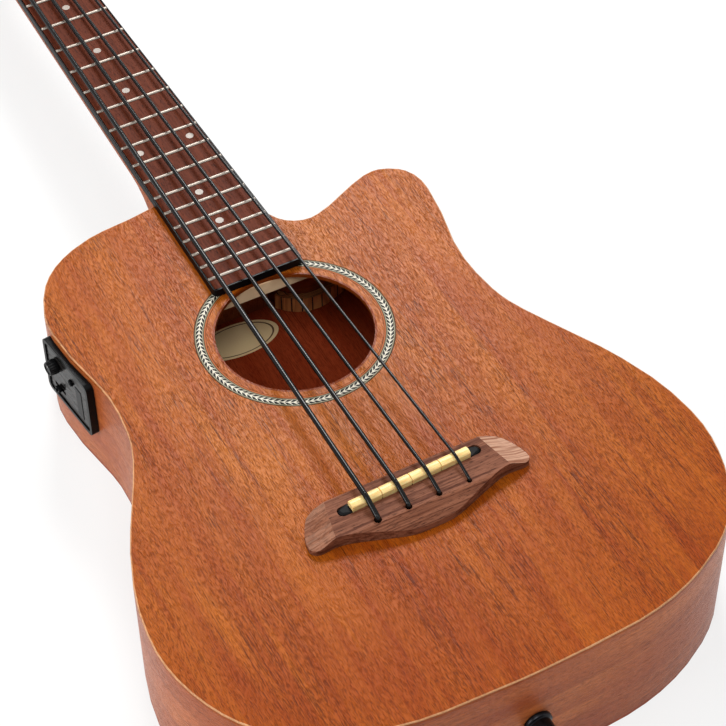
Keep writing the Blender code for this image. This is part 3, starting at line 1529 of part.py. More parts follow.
def build_preamp_controls():
    face = -panel_low()
    top = face + GAP + KNOB_HEIGHT
    knob = [
        (0, top), (KNOB_RADIUS * 0.8, top), (KNOB_RADIUS * 0.94, top - 0.0008),
        (KNOB_RADIUS, face + GAP + 0.0006), (KNOB_RADIUS * 0.95, face + GAP), (KNOB_SHAFT, face + GAP),
        (KNOB_SHAFT, face - PANEL_THICKNESS - 0.006), (0, face - PANEL_THICKNESS - 0.006),
    ]
    facing_out("volume_knob", knob, ROUND, BLACK_PLASTIC, KNOB_ALONG, KNOB_UP)
    back = face - PANEL_THICKNESS
    button = [
        (0, face + BUTTON_REACH), (BUTTON_RADIUS * 0.7, face + BUTTON_REACH - 0.0001),
        (BUTTON_RADIUS, face + BUTTON_REACH - 0.0005), (BUTTON_RADIUS, back - GAP),
        (BUTTON_RADIUS + 0.0008, back - GAP), (BUTTON_RADIUS + 0.0008, back - GAP - 0.0012),
        (0, back - GAP - 0.0012),
    ]
    facing_out("tuner_button", button, COARSE, BLACK_PLASTIC, BUTTON_ALONG, BUTTON_UP)
    half_length = SLIDER_SIZE[0] / 2
    half_height = SLIDER_SIZE[1] / 2
    lever = box(
        "tone_slider",
        (panel_low() - SLIDER_REACH, -half_length, -half_height),
        (panel_high() + GAP + 0.001, half_length, half_height),
    )
    place(lever, PREAMP_FRAME, BLACK_PLASTIC, (0, SLIDER_ALONG, -SLIDER_DOWN))
    foot = box(
        "slider_foot",
        (panel_high() + GAP, -half_length - 0.001, -half_height - 0.001),
        (panel_high() + GAP + 0.0015, half_length + 0.001, half_height + 0.001),
    )
    join(lever, place(foot, PREAMP_FRAME, None, (0, SLIDER_ALONG, -SLIDER_DOWN)))


def build_battery_tray():
    """A drawer through the panel that holds one coin cell on edge."""
    low = (panel_low() - GAP, -TRAY_LENGTH / 2, -TRAY_HEIGHT / 2)
    high = (panel_low() + TRAY_DEPTH, TRAY_LENGTH / 2, TRAY_HEIGHT / 2)
    tray = box("battery_tray", low, high)
    place(tray, PREAMP_FRAME, BLACK_PLASTIC, (0, TRAY_ALONG, -TRAY_DOWN))
    depth = TRAY_FLOOR + panel_low()
    well = cylinder("cell_well", CELL_RADIUS + GAP, TRAY_LENGTH, ROUND)
    centre = (depth + CELL_RADIUS, TRAY_ALONG - TRAY_LENGTH / 2 + TRAY_FLOOR, -TRAY_DOWN)
    cut(tray, place(well, PREAMP_FRAME, None, centre, (-math.pi / 2, 0, 0)))
    cell = cylinder("battery_cell", CELL_RADIUS, CELL_THICKNESS, ROUND)
    seat = (centre[0], centre[1] + GAP, centre[2])
    place(smooth(cell), PREAMP_FRAME, STEEL, seat, (-math.pi / 2, 0, 0))


# End-pin jack


def build_jack():
    """A jack sleeve through the tail block, with a strap-button collar outside."""
    out = TAIL_Y - JACK_OUTER
    length = JACK_OUTER + SIDE_THICKNESS + TAIL_BLOCK_LENGTH + JACK_INNER
    sleeve = smooth(cylinder("output_jack", JACK_RADIUS, length, ROUND))
    place(sleeve, BODY_FRAME, BLACK_METAL, (0, out, JACK_Z), (-math.pi / 2, 0, 0))
    bore = smooth(cylinder("jack_bore", JACK_BORE, length - 0.003, COARSE + 4))
    cut(sleeve, place(bore, BODY_FRAME, None, (0, out - 0.001, JACK_Z), (-math.pi / 2, 0, 0)))
    foot = -TAIL_Y + GAP
    tip = -out
    bore_radius = JACK_RADIUS + GAP
    profile = [
        (bore_radius, tip), (BOSS_RADIUS - 0.0012, tip), (BOSS_RADIUS, tip - 0.0012),
        (BOSS_RADIUS, tip - BOSS_THICKNESS + 0.0008), (BOSS_RADIUS - 0.0008, tip - BOSS_THICKNESS),
        (JACK_RADIUS + 0.0010, tip - BOSS_THICKNESS - 0.0006),
        (JACK_RADIUS + 0.0010, foot + COLLAR_THICKNESS),
        (COLLAR_RADIUS - 0.0006, foot + COLLAR_THICKNESS),
        (COLLAR_RADIUS, foot + COLLAR_THICKNESS - 0.0006), (COLLAR_RADIUS, foot),
        (bore_radius, foot),
    ]
    collar = turned("jack_collar", profile, ROUND, ring=True)
    place(collar, BODY_FRAME, BLACK_METAL, (0, 0, JACK_Z), (math.pi / 2, 0, 0))


# Assembly

build_soundboard()
build_rosette()
build_back()
build_sides()
build_blocks()
build_linings()
build_top_braces()
build_fan_braces()
build_bridge_plate()
build_back_braces()
build_bridge()
build_saddles()
build_neck()
build_truss_rod()
build_truss_nut()
build_fretboard()
build_nut()
for string_index in range(len(STRING_NAMES)):
    build_string(string_index)
    build_winding(string_index)
    build_tuner_post(string_index)
    build_tuner_key(string_index)
    build_tuner_plate(string_index)
build_preamp_housing()
build_preamp_panel()
build_preamp_controls()
build_battery_tray()
build_jack()
bpy.context.view_layer.update()
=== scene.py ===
import math

import bmesh
import bpy
from mathutils import Matrix, Vector


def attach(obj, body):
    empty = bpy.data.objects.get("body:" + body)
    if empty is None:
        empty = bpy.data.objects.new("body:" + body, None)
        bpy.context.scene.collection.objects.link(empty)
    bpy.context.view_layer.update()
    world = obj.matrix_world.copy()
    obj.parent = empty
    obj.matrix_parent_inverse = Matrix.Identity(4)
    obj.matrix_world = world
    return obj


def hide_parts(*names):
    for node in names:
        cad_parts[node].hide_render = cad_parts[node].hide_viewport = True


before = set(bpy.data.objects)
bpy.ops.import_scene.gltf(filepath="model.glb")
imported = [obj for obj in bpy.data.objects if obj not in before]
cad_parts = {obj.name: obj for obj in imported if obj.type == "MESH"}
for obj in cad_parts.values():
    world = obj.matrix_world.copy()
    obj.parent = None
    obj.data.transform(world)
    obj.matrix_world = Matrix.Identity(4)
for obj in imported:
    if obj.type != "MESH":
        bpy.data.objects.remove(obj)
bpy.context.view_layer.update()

# Camera: it stands over the tail on the bass side and looks up the neck. Its place and lens were solved
# from the frets and the strings' straight lines in the photograph, so it frames the same part of the body.
scene = bpy.context.scene
camera = bpy.data.objects.new("camera", bpy.data.cameras.new("camera"))
camera.data.sensor_width = 36
camera.data.lens = 116.65
camera.location = (-0.42089, -0.72440, 1.14821)
camera.rotation_euler = [math.radians(turn) for turn in (41.254, -0.1078, -28.3055)]
scene.collection.objects.link(camera)
scene.camera = camera
scene.view_settings.view_transform = "Standard"

# Soundboard: one flat plate of mahogany with its grain along the strings, sanded to a soft edge. The pores
# are left open under thin satin lacquer, so they show as short dark dashes, and the sheen is broad and dull.
TOP_HEIGHT = 0.086505
BACK_TAPER = math.atan(0.0302072)
TOP = Matrix.Translation((0, 0, TOP_HEIGHT)) @ Matrix.Rotation(-BACK_TAPER, 4, "X")
TO_TOP = TOP.inverted()
TOP_EDGE_ROUND = 0.0008
HOLE_CENTRE = Vector((0, 0.1405, 0))
HOLE_WALL = 0.0503
ROSETTE_CHANNEL = (0.0480, 0.0630)
ALONG_STRINGS = (False, True, False)


def shade(code):
    """An sRGB hex colour, as the linear colour that a shader takes."""
    parts = [int(code[start : start + 2], 16) / 255 for start in (1, 3, 5)]
    return (*[part / 12.92 if part <= 0.04045 else ((part + 0.055) / 1.055) ** 2.4 for part in parts], 1)


def add_node(tree, kind, settings=None, links=None):
    """One node: a setting names a socket or a property, and a link says what feeds a socket."""
    made = tree.nodes.new("ShaderNode" + kind)
    for name, value in (settings or {}).items():
        if isinstance(name, int) or name in made.inputs:
            made.inputs[name].default_value = value
        else:
            setattr(made, name, value)
    for name, source in (links or {}).items():
        output = source if isinstance(source, bpy.types.NodeSocket) else source.outputs[0]
        tree.links.new(output, made.inputs[name])
    return made


def new_finish(name, **sockets):
    """A material and its nodes, with the shader's own even values set."""
    finish = bpy.data.materials.new(name)
    finish.use_nodes = True
    shader = finish.node_tree.nodes["Principled BSDF"]
    for socket, value in sockets.items():
        shader.inputs[socket.replace("_", " ")].default_value = value
    return finish, finish.node_tree


def feed(tree, **sources):
    """Links each node to the shader's socket of that name."""
    shader = tree.nodes["Principled BSDF"]
    for socket, source in sources.items():
        tree.links.new(source.outputs[0], shader.inputs[socket.replace("_", " ")])


def colour_so_far(tree):
    """What feeds the shader's colour until now."""
    return tree.nodes["Principled BSDF"].inputs["Base Color"].links[0].from_socket


def grain_layer(tree, size, detail=2, distortion=0, shift=0):
    """Noise whose blots measure size, in millimetres, along X, Y and Z."""
    place = add_node(tree, "TexCoord").outputs["Object"]
    scale = [1000 / length for length in size]
    spread = add_node(tree, "Mapping", {"Scale": scale, "Location": (shift, shift, shift)}, {"Vector": place})
    settings = {"Scale": 1, "Detail": detail, "Distortion": distortion}
    return add_node(tree, "TexNoise", settings, {"Vector": spread})


def wood_layers(tree, grain, shift):
    """A function for noise whose blots measure so many millimetres across and along the grain."""

    def blots(across, along, detail=2, distortion=0):
        size = [along if runs else across for runs in grain]
        return grain_layer(tree, size, detail, distortion, shift)

    return blots


def mahogany(name, tones, grain, roughness=0.31, shift=0, gloss=0.086):
    """Open-pored wood in four tones: light, dark, ribbon and pore. grain says which axes run along it.

    Pores are 0.3 mm wide and 4.6 mm long. The long dark strokes are rows of pores, really as narrow, and are
    drawn 0.55 mm wide so that they show.
    """
    finish, tree = new_finish(name, Specular_IOR_Level=gloss)
    light, dark, ribbon, pore = (shade(code) for code in tones)
    blots = wood_layers(tree, grain, shift)
    figure = {"From Min": 0.3, "From Max": 0.7}
    figure = add_node(tree, "MapRange", figure, {"Value": blots(30, 150, distortion=0.6)})
    tone = add_node(tree, "MixRGB", {"Color1": light, "Color2": dark}, {"Fac": figure})
    bands = {"From Min": 0.44, "From Max": 0.68, "To Max": 0.5}
    bands = add_node(tree, "MapRange", bands, {"Value": blots(6, 200, distortion=0.3)})
    tone = add_node(tree, "MixRGB", {"Color2": ribbon}, {"Fac": bands, "Color1": tone})
    dashes = add_node(tree, "MapRange", {"From Min": 0.5, "From Max": 0.6}, {"Value": blots(0.3, 4.6)})
    patches = {"From Min": 0.35, "From Max": 0.65, "To Min": 0.42, "To Max": 0.6}
    patches = add_node(tree, "MapRange", patches, {"Value": blots(24, 80)})
    pores = add_node(tree, "Math", {"operation": "MULTIPLY"}, {0: dashes, 1: patches})
    tone = add_node(tree, "MixRGB", {"Color2": pore}, {"Fac": pores, "Color1": tone})
    strokes = {"From Min": 0.6, "From Max": 0.625}
    strokes = add_node(tree, "MapRange", strokes, {"Value": blots(0.55, 140, 1)})
    crowds = {"From Min": 0.45, "From Max": 0.58, "To Max": 0.62}
    crowds = add_node(tree, "MapRange", crowds, {"Value": blots(17, 200, 1)})
    strokes = add_node(tree, "Math", {"operation": "MULTIPLY"}, {0: strokes, 1: crowds})
    tone = add_node(tree, "MixRGB", {"Color2": pore}, {"Fac": strokes, "Color1": tone})
    dull = add_node(tree, "MapRange", {"To Min": roughness, "To Max": roughness + 0.22}, {"Value": pores})
    sunk = add_node(tree, "Bump", {"Strength": 1, "Distance": 0.0002, "invert": True}, {"Height": pores})
    feed(tree, Base_Color=tone, Roughness=dull, Normal=sunk)
    return finish


def set_piece(name, bm, finish, body="instrument", stands_for=()):
    """Makes an object of a bmesh, gives it its finish and slot, and puts it on its body."""
    mesh = bpy.data.meshes.new(name)
    bm.to_mesh(mesh)
    bm.free()
    mesh.materials.append(finish)
    piece = bpy.data.objects.new(name, mesh)
    scene.collection.objects.link(piece)
    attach(piece, body)
    if stands_for:
        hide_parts(*stands_for)
    return piece


def sharpen(bm, angle=35):
    """Smooth shading, broken only where two faces meet at more than the angle."""
    for face in bm.faces:
        face.smooth = True
    for edge in bm.edges:
        edge.smooth = len(edge.link_faces) == 2 and edge.calc_face_angle() < math.radians(angle)


def merged_copy(node):
    """A copy of a CAD node's mesh, its loose triangles joined and its flat faces made whole."""
    bm = bmesh.new()
    bm.from_mesh(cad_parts[node].data)
    bmesh.ops.remove_doubles(bm, verts=bm.verts, dist=0.000002)
    bmesh.ops.dissolve_limit(bm, angle_limit=math.radians(0.4), verts=bm.verts, edges=bm.edges)
    return bm


def worked(name, node, finish, ease, chosen=None, nudge=None, body="instrument", crease=35, edge_highlight_finish=None):
    """A CAD node's shape as the maker leaves it: its chosen outer corners eased by a radius."""
    bm = merged_copy(node)
    if nudge:
        for vertex in bm.verts:
            vertex.co = nudge(vertex.co)
    sharpen(bm, crease)
    weight = bm.edges.layers.float.new("bevel_weight_edge")
    for edge in bm.edges:
        outer = not edge.smooth and edge.is_convex
        if outer and (chosen is None or chosen(TO_TOP @ edge.verts[0].co, TO_TOP @ edge.verts[1].co)):
            edge[weight] = 1
    piece = set_piece(name, bm, finish, body, (node,))
    eased = piece.modifiers.new("eased_edges", "BEVEL")
    eased.limit_method = "WEIGHT"
    eased.width = ease
    eased.segments = 3
    eased.harden_normals = True
    # The eased faces can take a second finish, painted lighter: a painted highlight along the edge.
    if edge_highlight_finish:
        piece.data.materials.append(edge_highlight_finish)
        eased.material = 1
        eased.use_clamp_overlap = False
    return piece


def top_corner(first, second):
    """The plate's outer edge on its face, but not the hole's edge or the channel's round it."""
    level = min(first.z, second.z) > -0.0002
    inner, outer = ROSETTE_CHANNEL
    return level and not inner < (first - HOLE_CENTRE).xy.length < outer


TOP_WOOD = mahogany("open_pored_mahogany_top", ("#b76418", "#a45012", "#8e370a", "#3e1404"), ALONG_STRINGS)
# The eased edges of the soundboard and back take a lighter, glossier mahogany: a painted highlight along the
# rounded edge.
PAINTED_EDGE_HIGHLIGHT = mahogany(
    "mahogany_edge_painted_highlight", ("#d9a273", "#ca9160", "#b97e4e", "#8e5430"), ALONG_STRINGS, 0.34, gloss=0.3
)
# The hole's sawn wall is painted dark: stain on its end grain, and painted shade inside the hole. Towards the
# tail
# the wood is painted deeper and redder: painted shade, darker away from the headstock.
tree = TOP_WOOD.node_tree
place = add_node(tree, "TexCoord").outputs["Object"]
flat = add_node(tree, "VectorMath", {"operation": "MULTIPLY", 1: (1, 1, 0)}, {0: place})
centre = (*(TOP @ HOLE_CENTRE).xy, 0)
away = add_node(tree, "VectorMath", {"operation": "DISTANCE", 1: centre}, {0: flat}).outputs["Value"]
# Painted dark on the hole's wall: its stain, and painted shade.
hole_wall_stain_and_shade = add_node(tree, "Math", {"operation": "LESS_THAN", 1: HOLE_WALL}, {0: away})
height = add_node(tree, "SeparateXYZ", None, {0: place}).outputs["Y"]
# Painted shade: the wood darker and redder towards the tail.
painted_tail_shade = add_node(tree, "MapRange", {"From Min": 0.05, "From Max": -0.11}, {"Value": height})
tail_shaded_tone = {"blend_type": "MULTIPLY", "Color2": (0.9, 0.76, 0.72, 1)}
tail_shaded_tone = add_node(tree, "MixRGB", tail_shaded_tone, {"Fac": painted_tail_shade, "Color1": colour_so_far(tree)})
stain_and_shade_tone = add_node(tree, "MixRGB", {"Color2": shade("#7d3406")}, {"Fac": hole_wall_stain_and_shade, "Color1": tail_shaded_tone})
feed(tree, Base_Color=stain_and_shade_tone)
# The soundboard's eased edge is painted lighter, as a painted highlight.
worked("soundboard_plate", "soundboard", TOP_WOOD, TOP_EDGE_ROUND, top_corner, edge_highlight_finish=PAINTED_EDGE_HIGHLIGHT)

# Rosette: a strip of herringbone marquetry, white and black slips glued at a slant on both sides of a white
# spine, between two greenish lines and a bed of mahogany. It is let in flush round the sound hole. Its
# values are in millimetres, and each ring starts so far from the middle of the strip.
ROSETTE_MIDDLE = 58.5
CHEVRONS = 108
SLANT = -0.27
BLACK_SHARE = (0.24, 0.46)
ARM = (1.1, 0.85)
RINGS = ((1.95, "#8c866c"), (2.5, "#453016"), (3.05, "#a5541c"))


def herringbone(name):
    """Veneer slips scraped level under satin lacquer, so the pattern is crisp and hardly shines."""
    finish, tree = new_finish(name, Roughness=0.42, Specular_IOR_Level=0.08)
    place = add_node(tree, "TexCoord").outputs["Object"]
    moved = add_node(tree, "VectorMath", {"operation": "SUBTRACT", 1: TOP @ HOLE_CENTRE}, {0: place})
    flat = add_node(tree, "VectorMath", {"operation": "MULTIPLY", 1: (1000, 1000, 0)}, {0: moved})
    radius = add_node(tree, "VectorMath", {"operation": "LENGTH"}, {0: flat}).outputs["Value"]
    axes = add_node(tree, "SeparateXYZ", None, {0: flat})
    angle = add_node(tree, "Math", {"operation": "ARCTAN2"}, {0: axes.outputs["Y"], 1: axes.outputs["X"]})
    off = add_node(tree, "Math", {"operation": "SUBTRACT", 1: ROSETTE_MIDDLE}, {0: radius})
    side = add_node(tree, "Math", {"operation": "ABSOLUTE"}, {0: off})
    count = add_node(tree, "Math", {"operation": "MULTIPLY", 1: CHEVRONS / math.tau}, {0: angle})
    slant = add_node(tree, "Math", {"operation": "MULTIPLY_ADD", 1: SLANT}, {0: side, 2: count})
    cycle = add_node(tree, "Math", {"operation": "FRACT"}, {0: slant})
    growth, start = BLACK_SHARE
    share = add_node(tree, "Math", {"operation": "MULTIPLY_ADD", 1: growth, 2: start}, {0: side})
    slip = add_node(tree, "Math", {"operation": "LESS_THAN"}, {0: cycle, 1: share})
    middle, reach = ARM
    arm = add_node(tree, "Math", {"operation": "COMPARE", 1: middle, 2: reach}, {0: side})
    black = add_node(tree, "Math", {"operation": "MULTIPLY"}, {0: slip, 1: arm})
    white = {"Color1": shade("#e6e0d0"), "Color2": shade("#c6bda6")}
    white = add_node(tree, "MixRGB", white, {"Fac": grain_layer(tree, (2, 2, 2))})
    tone = add_node(tree, "MixRGB", {"Color2": shade("#0d0a08")}, {"Fac": black, "Color1": white})
    for inner, colour in RINGS:
        ring = add_node(tree, "Math", {"operation": "GREATER_THAN", 1: inner}, {0: side})
        tone = add_node(tree, "MixRGB", {"Color2": shade(colour)}, {"Fac": ring, "Color1": tone})
    feed(tree, Base_Color=tone)
    return finish


def refinish(node, finish):
    """Gives its real finish to a CAD node that keeps its own shape."""
    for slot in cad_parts[node].material_slots:
        slot.material = finish


refinish("rosette", herringbone("herringbone_marquetry"))

# Sides: two mahogany strips bent over a hot pipe to the body's outline, so their grain runs round the body.
# They meet in a fine seam at the tail, and are glued to the top and the back.
TAIL_DEPTH = 0.091
TAIL_REACH = 0.1475
BACK_THICKNESS = 0.0028
GLUE_GAP = 0.0003
TOP_EDGE_ZONE = 0.0040
BACK_EDGE_ZONE = 0.0008
SIDE_WOOD = mahogany(
    "open_pored_mahogany_sides",
    ("#c06c38", "#a24e26", "#903e1a", "#5a2410"),
    (True, True, False), shift=31, gloss=0.15,
)


def back_level(y):
    """The height of the back's outer face, in the frame of the top."""
    return -TAIL_DEPTH + math.tan(BACK_TAPER) * (y + TAIL_REACH)


def up_to_the_plates(point):
    """Closes the glue lines: a side's edges reach the top and the back, and its end the other side."""
    here = TO_TOP @ point
    if abs(here.x) < GLUE_GAP and here.y < 0:
        here.x = 0
    here.z += GLUE_GAP if here.z > -TOP_EDGE_ZONE else 0
    inner_face = back_level(here.y) + BACK_THICKNESS + GLUE_GAP
    here.z -= GLUE_GAP if here.z < inner_face + BACK_EDGE_ZONE else 0
    return TOP @ here


# A side's corners stay sharp, because they are glued to the plates.
for half in ("bass", "treble"):
    worked("side_strip_" + half, "side_" + half, SIDE_WOOD, 0.0002, lambda *ends: False, up_to_the_plates)

# Back: a flat mahogany plate like the top, its edge eased the same way. The instrument rests on it. Its inner
# face is left raw, without lacquer.
BACK_WOOD = mahogany(
    "open_pored_mahogany_back", ("#b04c1e", "#983a14", "#883010", "#561c0a"), ALONG_STRINGS, shift=57
)


def back_corner(first, second):
    """The edge of the plate's outer face."""
    return max(first.z - back_level(first.y), second.z - back_level(second.y)) < 0.0003


RAW_WOOD = mahogany(
    "raw_mahogany_inside", ("#b44c2a", "#a03c1c", "#8e2e14", "#601b0a"), ALONG_STRINGS, 0.7, 57, gloss=0.03
)
# The back's eased edge takes the same painted highlight as the top's.
back_plate = worked("back_plate", "back", BACK_WOOD, TOP_EDGE_ROUND, back_corner, edge_highlight_finish=PAINTED_EDGE_HIGHLIGHT)
back_plate.data.materials.append(RAW_WOOD)
for face in back_plate.data.polygons:
    face.material_index = 2 if face.normal.z > 0.5 else 0

# Inside the body: the neck and tail blocks are mahogany, and the braces quarter-sawn spruce with its straight
# growth rings. The linings are cedar, sawn almost through every few millimetres so that they bend.


def sawn(name, light, dark, kerf=0.0):
    """Straight-grained inner wood in two tones, with saw cuts every kerf metres along its UV, in painted
    shade.
    """
    finish, tree = new_finish(name, Roughness=0.62)
    rings = grain_layer(tree, (60, 1.1, 60), 3)
    rings = add_node(tree, "MapRange", {"From Min": 0.45, "From Max": 0.62}, {"Value": rings})
    tone = add_node(tree, "MixRGB", {"Color1": shade(light), "Color2": shade(dark)}, {"Fac": rings})
    if kerf:
        place = add_node(tree, "UVMap", {"uv_map": "UVMap"})
        axes = add_node(tree, "SeparateXYZ", None, {0: place})
        count = add_node(tree, "Math", {"operation": "MULTIPLY", 1: 1 / kerf}, {0: axes.outputs["X"]})
        cycle = add_node(tree, "Math", {"operation": "FRACT"}, {0: count})
        # Painted shade: each saw cut is drawn nearly black.
        cut = add_node(tree, "Math", {"operation": "LESS_THAN", 1: 0.13}, {0: cycle})
        tone = add_node(tree, "MixRGB", {"Color2": shade("#1c0a05")}, {"Fac": cut, "Color1": tone})
        sunk = add_node(tree, "Bump", {"Strength": 1, "Distance": 0.001, "invert": True}, {"Height": cut})
        feed(tree, Normal=sunk)
    feed(tree, Base_Color=tone)
    return finish


def kerfed_lining(name, node, half, finish):
    """A lining whose UV measures the way along it, so that its saw cuts follow the bend."""
    flat_lining = merged_copy("lining_top_" + half)
    widest = max(flat_lining.faces, key=lambda face: face.calc_area() if abs(face.normal.z) > 0.9 else 0)
    rim = [vertex.co.xy.copy() for vertex in widest.verts]
    flat_lining.free()
    bm = merged_copy(node)
    run = [0.0]
    for here, there in zip(rim, rim[1:] + rim[:1]):
        run.append(run[-1] + (there - here).length)
    uv = bm.loops.layers.uv.new("UVMap")
    for vertex in bm.verts:
        nearest = min(range(len(rim)), key=lambda spot: (rim[spot] - vertex.co.xy).length)
        along = min(run[nearest], run[-1] - run[nearest])
        for loop in vertex.link_loops:
            loop[uv].uv = (along, vertex.co.z)
    sharpen(bm)
    set_piece(name, bm, finish, stands_for=(node,))


BRACE_WOOD = sawn("quarter_sawn_spruce", "#f0cfa6", "#d6ab7e")
LINING_WOOD = sawn("kerfed_cedar", "#dc9a5c", "#b87440", kerf=0.0070)
BLOCK_WOOD = mahogany(
    "sawn_mahogany_blocks", ("#a5603c", "#8a4526", "#7c3a20", "#54200f"), (False, False, True), 0.7, 83
)
for node in ("neck_block", "tail_block"):
    refinish(node, BLOCK_WOOD)
for node in (
    "bridge_plate", "top_brace_upper", "top_brace_lower", "fan_brace_bass", "fan_brace_treble",
    "back_brace_lower", "back_brace_upper",
):
    refinish(node, BRACE_WOOD)
for plate in ("top", "back"):
    for half in ("bass", "treble"):
        kerfed_lining(f"kerfed_lining_{plate}_{half}", f"lining_{plate}_{half}", half, LINING_WOOD)

# Label: an oval of tan paper pasted on the back under the sound hole. It is plain but for a printed line
# round its rim.
LABEL_PLACE = (-0.0055, 0.2175)
LABEL_SIZE = (0.058, 0.028)
LABEL_TURN = math.radians(-1)
PAPER = 0.0002
PASTE = 0.00005


def label_paper():
    """Uncoated paper gone yellow, with its fibres just showing."""
    finish, tree = new_finish("aged_label_paper", Roughness=0.75)
    place = add_node(tree, "UVMap", {"uv_map": "UVMap"})
    across = add_node(tree, "VectorMath", {"operation": "LENGTH"}, {0: place}).outputs["Value"]
    fibres = {"Color1": shade("#ffe7b4"), "Color2": shade("#fbd69a")}
    fibres = add_node(tree, "MixRGB", fibres, {"Fac": grain_layer(tree, (1.2, 0.5, 1), 4)})
    ring = add_node(tree, "Math", {"operation": "COMPARE", 1: 0.87, 2: 0.022}, {0: across})
    tone = add_node(tree, "MixRGB", {"Color2": shade("#6b4526")}, {"Fac": ring, "Color1": fibres})
    feed(tree, Base_Color=tone)
    return finish


label = bmesh.new()
bmesh.ops.create_circle(label, cap_ends=True, radius=1, segments=64)
uv = label.loops.layers.uv.new("UVMap")
for face in label.faces:
    for loop in face.loops:
        loop[uv].uv = loop.vert.co.xy
sheet = bmesh.ops.extrude_face_region(label, geom=label.faces[:])
upper = [item for item in sheet["geom"] if isinstance(item, bmesh.types.BMVert)]
bmesh.ops.translate(label, verts=upper, vec=(0, 0, 1))
lift = back_level(LABEL_PLACE[1]) + BACK_THICKNESS + PASTE
bmesh.ops.transform(
    label,
    verts=label.verts,
    matrix=TOP
    @ Matrix.Translation((*LABEL_PLACE, lift))
    @ Matrix.Rotation(BACK_TAPER, 4, "X")
    @ Matrix.Rotation(LABEL_TURN, 4, "Z")
    @ Matrix.Diagonal((LABEL_SIZE[0] / 2, LABEL_SIZE[1] / 2, PAPER, 1)),
)
bmesh.ops.recalc_face_normals(label, faces=label.faces)
set_piece("label_oval", label, label_paper())

# Neck: heel, shaft and headstock carved from one billet of mahogany, with its grain along the strings.
# The headstock tilts back, and the heel's cheeks come down from the fretboard's edges to the body.
NECK_WOOD = mahogany(
    "open_pored_mahogany_neck", ("#b26236", "#9a4e28", "#8a421f", "#542410"), ALONG_STRINGS, 0.4, 12
)
SCALE_LENGTH = 0.635
HEAD_START = 0.640
HEAD_DROP = 0.0005
HEAD_TILT = math.radians(12)
HEAD = TOP @ Matrix.Translation((0, HEAD_START, -HEAD_DROP)) @ Matrix.Rotation(-HEAD_TILT, 4, "X")
NUT_WIDTH = 0.0450
BOARD_FLARE = 0.0236
HEEL_LENGTH = 0.050
CHEEK_LENGTH = 0.045
CHEEK_TOP = -0.0005


def fret_y(number):
    """A fret's place from the saddles, by the rule of the twelfth root of two."""
    return SCALE_LENGTH * 2 ** (-number / 12)


HEEL_START = fret_y(14) + 0.0002
HEEL_END = HEEL_START + HEEL_LENGTH


def board_half(y):
    """Half the fretboard's width, edge strip and all."""
    return (NUT_WIDTH + BOARD_FLARE * (SCALE_LENGTH - y) / SCALE_LENGTH) / 2


def head_corner(first, second):
    """The headstock's corners past the nut, but not the short facets of a curve."""
    return min(first.y, second.y) > 0.648 and (first - second).length > 0.0006


def fuller_heel(point):
    """Near the body the heel's cheeks come down almost straight from the fretboard's edge."""
    here = TO_TOP @ point
    share = min(1, max(0, (HEEL_END - here.y) / CHEEK_LENGTH)) if here.y > HEEL_START else 0
    if here.z < CHEEK_TOP and abs(here.x) > 0.002:
        full = board_half(here.y) * (1 + 0.05 * share)
        here.x += math.copysign((full - abs(here.x)) * 0.6 * share * min(1, abs(here.x) / 0.012), here.x)
    return TOP @ here


worked("neck_billet", "neck", NECK_WOOD, 0.0012, head_corner, fuller_heel)

# Fretboard: a rosewood board, planed flat and oiled, so its pores stay open. Twenty nickel-silver frets are
# pressed in, their ends rounded, and plain white dots are glued in flush.
BOARD_END = 0.1892
BOARD_TOP = 0.0058
BOARD_CORNER = 0.0011
EDGE_STRIP = 0.0014
FRET_COUNT = 20
FRET_WIDTH = 0.0024
FRET_HEIGHT = 0.0010
FRET_INSET = 0.0009
FRET_END = 0.0016
END_ROUND = 0.35
DOTTED = (3, 5, 7, 9, 12, 15, 17)
DOT_RADIUS = 0.0026
DOT_DEPTH = 0.0009
DOT_SUNK = 0.0004
DOUBLE_DOT = 0.0180


def rosewood(name, tones, grain, roughness, shift=0):
    """Dark, streaked wood in three tones, with open pores drawn 0.45 mm wide, wider than real, to show."""
    finish, tree = new_finish(name, Roughness=roughness, Specular_IOR_Level=0.06)
    light, dark, pore = (shade(code) for code in tones)
    blots = wood_layers(tree, grain, shift)
    streaks = {"From Min": 0.38, "From Max": 0.64}
    streaks = add_node(tree, "MapRange", streaks, {"Value": blots(2.0, 60, 4, 0.7)})
    tone = add_node(tree, "MixRGB", {"Color1": light, "Color2": dark}, {"Fac": streaks})
    dashes = {"From Min": 0.56, "From Max": 0.68, "To Max": 0.8}
    dashes = add_node(tree, "MapRange", dashes, {"Value": blots(0.45, 5)})
    tone = add_node(tree, "MixRGB", {"Color2": pore}, {"Fac": dashes, "Color1": tone})
    sunk = {"Strength": 0.5, "Distance": 0.00012, "invert": True}
    sunk = add_node(tree, "Bump", sunk, {"Height": dashes})
    feed(tree, Base_Color=tone, Normal=sunk)
    return finish


BOARD_WOOD = rosewood("oiled_rosewood", ("#66301d", "#522415", "#2a110a"), ALONG_STRINGS, 0.55)
board = bmesh.new()
bmesh.ops.create_cube(board, size=1)
for vertex in board.verts:
    y = BOARD_END + EDGE_STRIP if vertex.co.y < 0 else SCALE_LENGTH - GLUE_GAP
    across = math.copysign(board_half(y) - EDGE_STRIP, vertex.co.x)
    vertex.co = (across, y, BOARD_TOP if vertex.co.z > 0 else 0)
corners = [
    edge for edge in board.edges
    if abs(edge.verts[0].co.z - edge.verts[1].co.z) > 0.001 and edge.verts[0].co.y < SCALE_LENGTH / 2
]
bmesh.ops.bevel(
    board, geom=corners, offset=BOARD_CORNER, segments=4, profile=0.5, affect="EDGES", material=-1
)
bmesh.ops.transform(board, matrix=TOP, verts=board.verts)
sharpen(board)
set_piece("fretboard_plank", board, BOARD_WOOD, stands_for=("fretboard",))


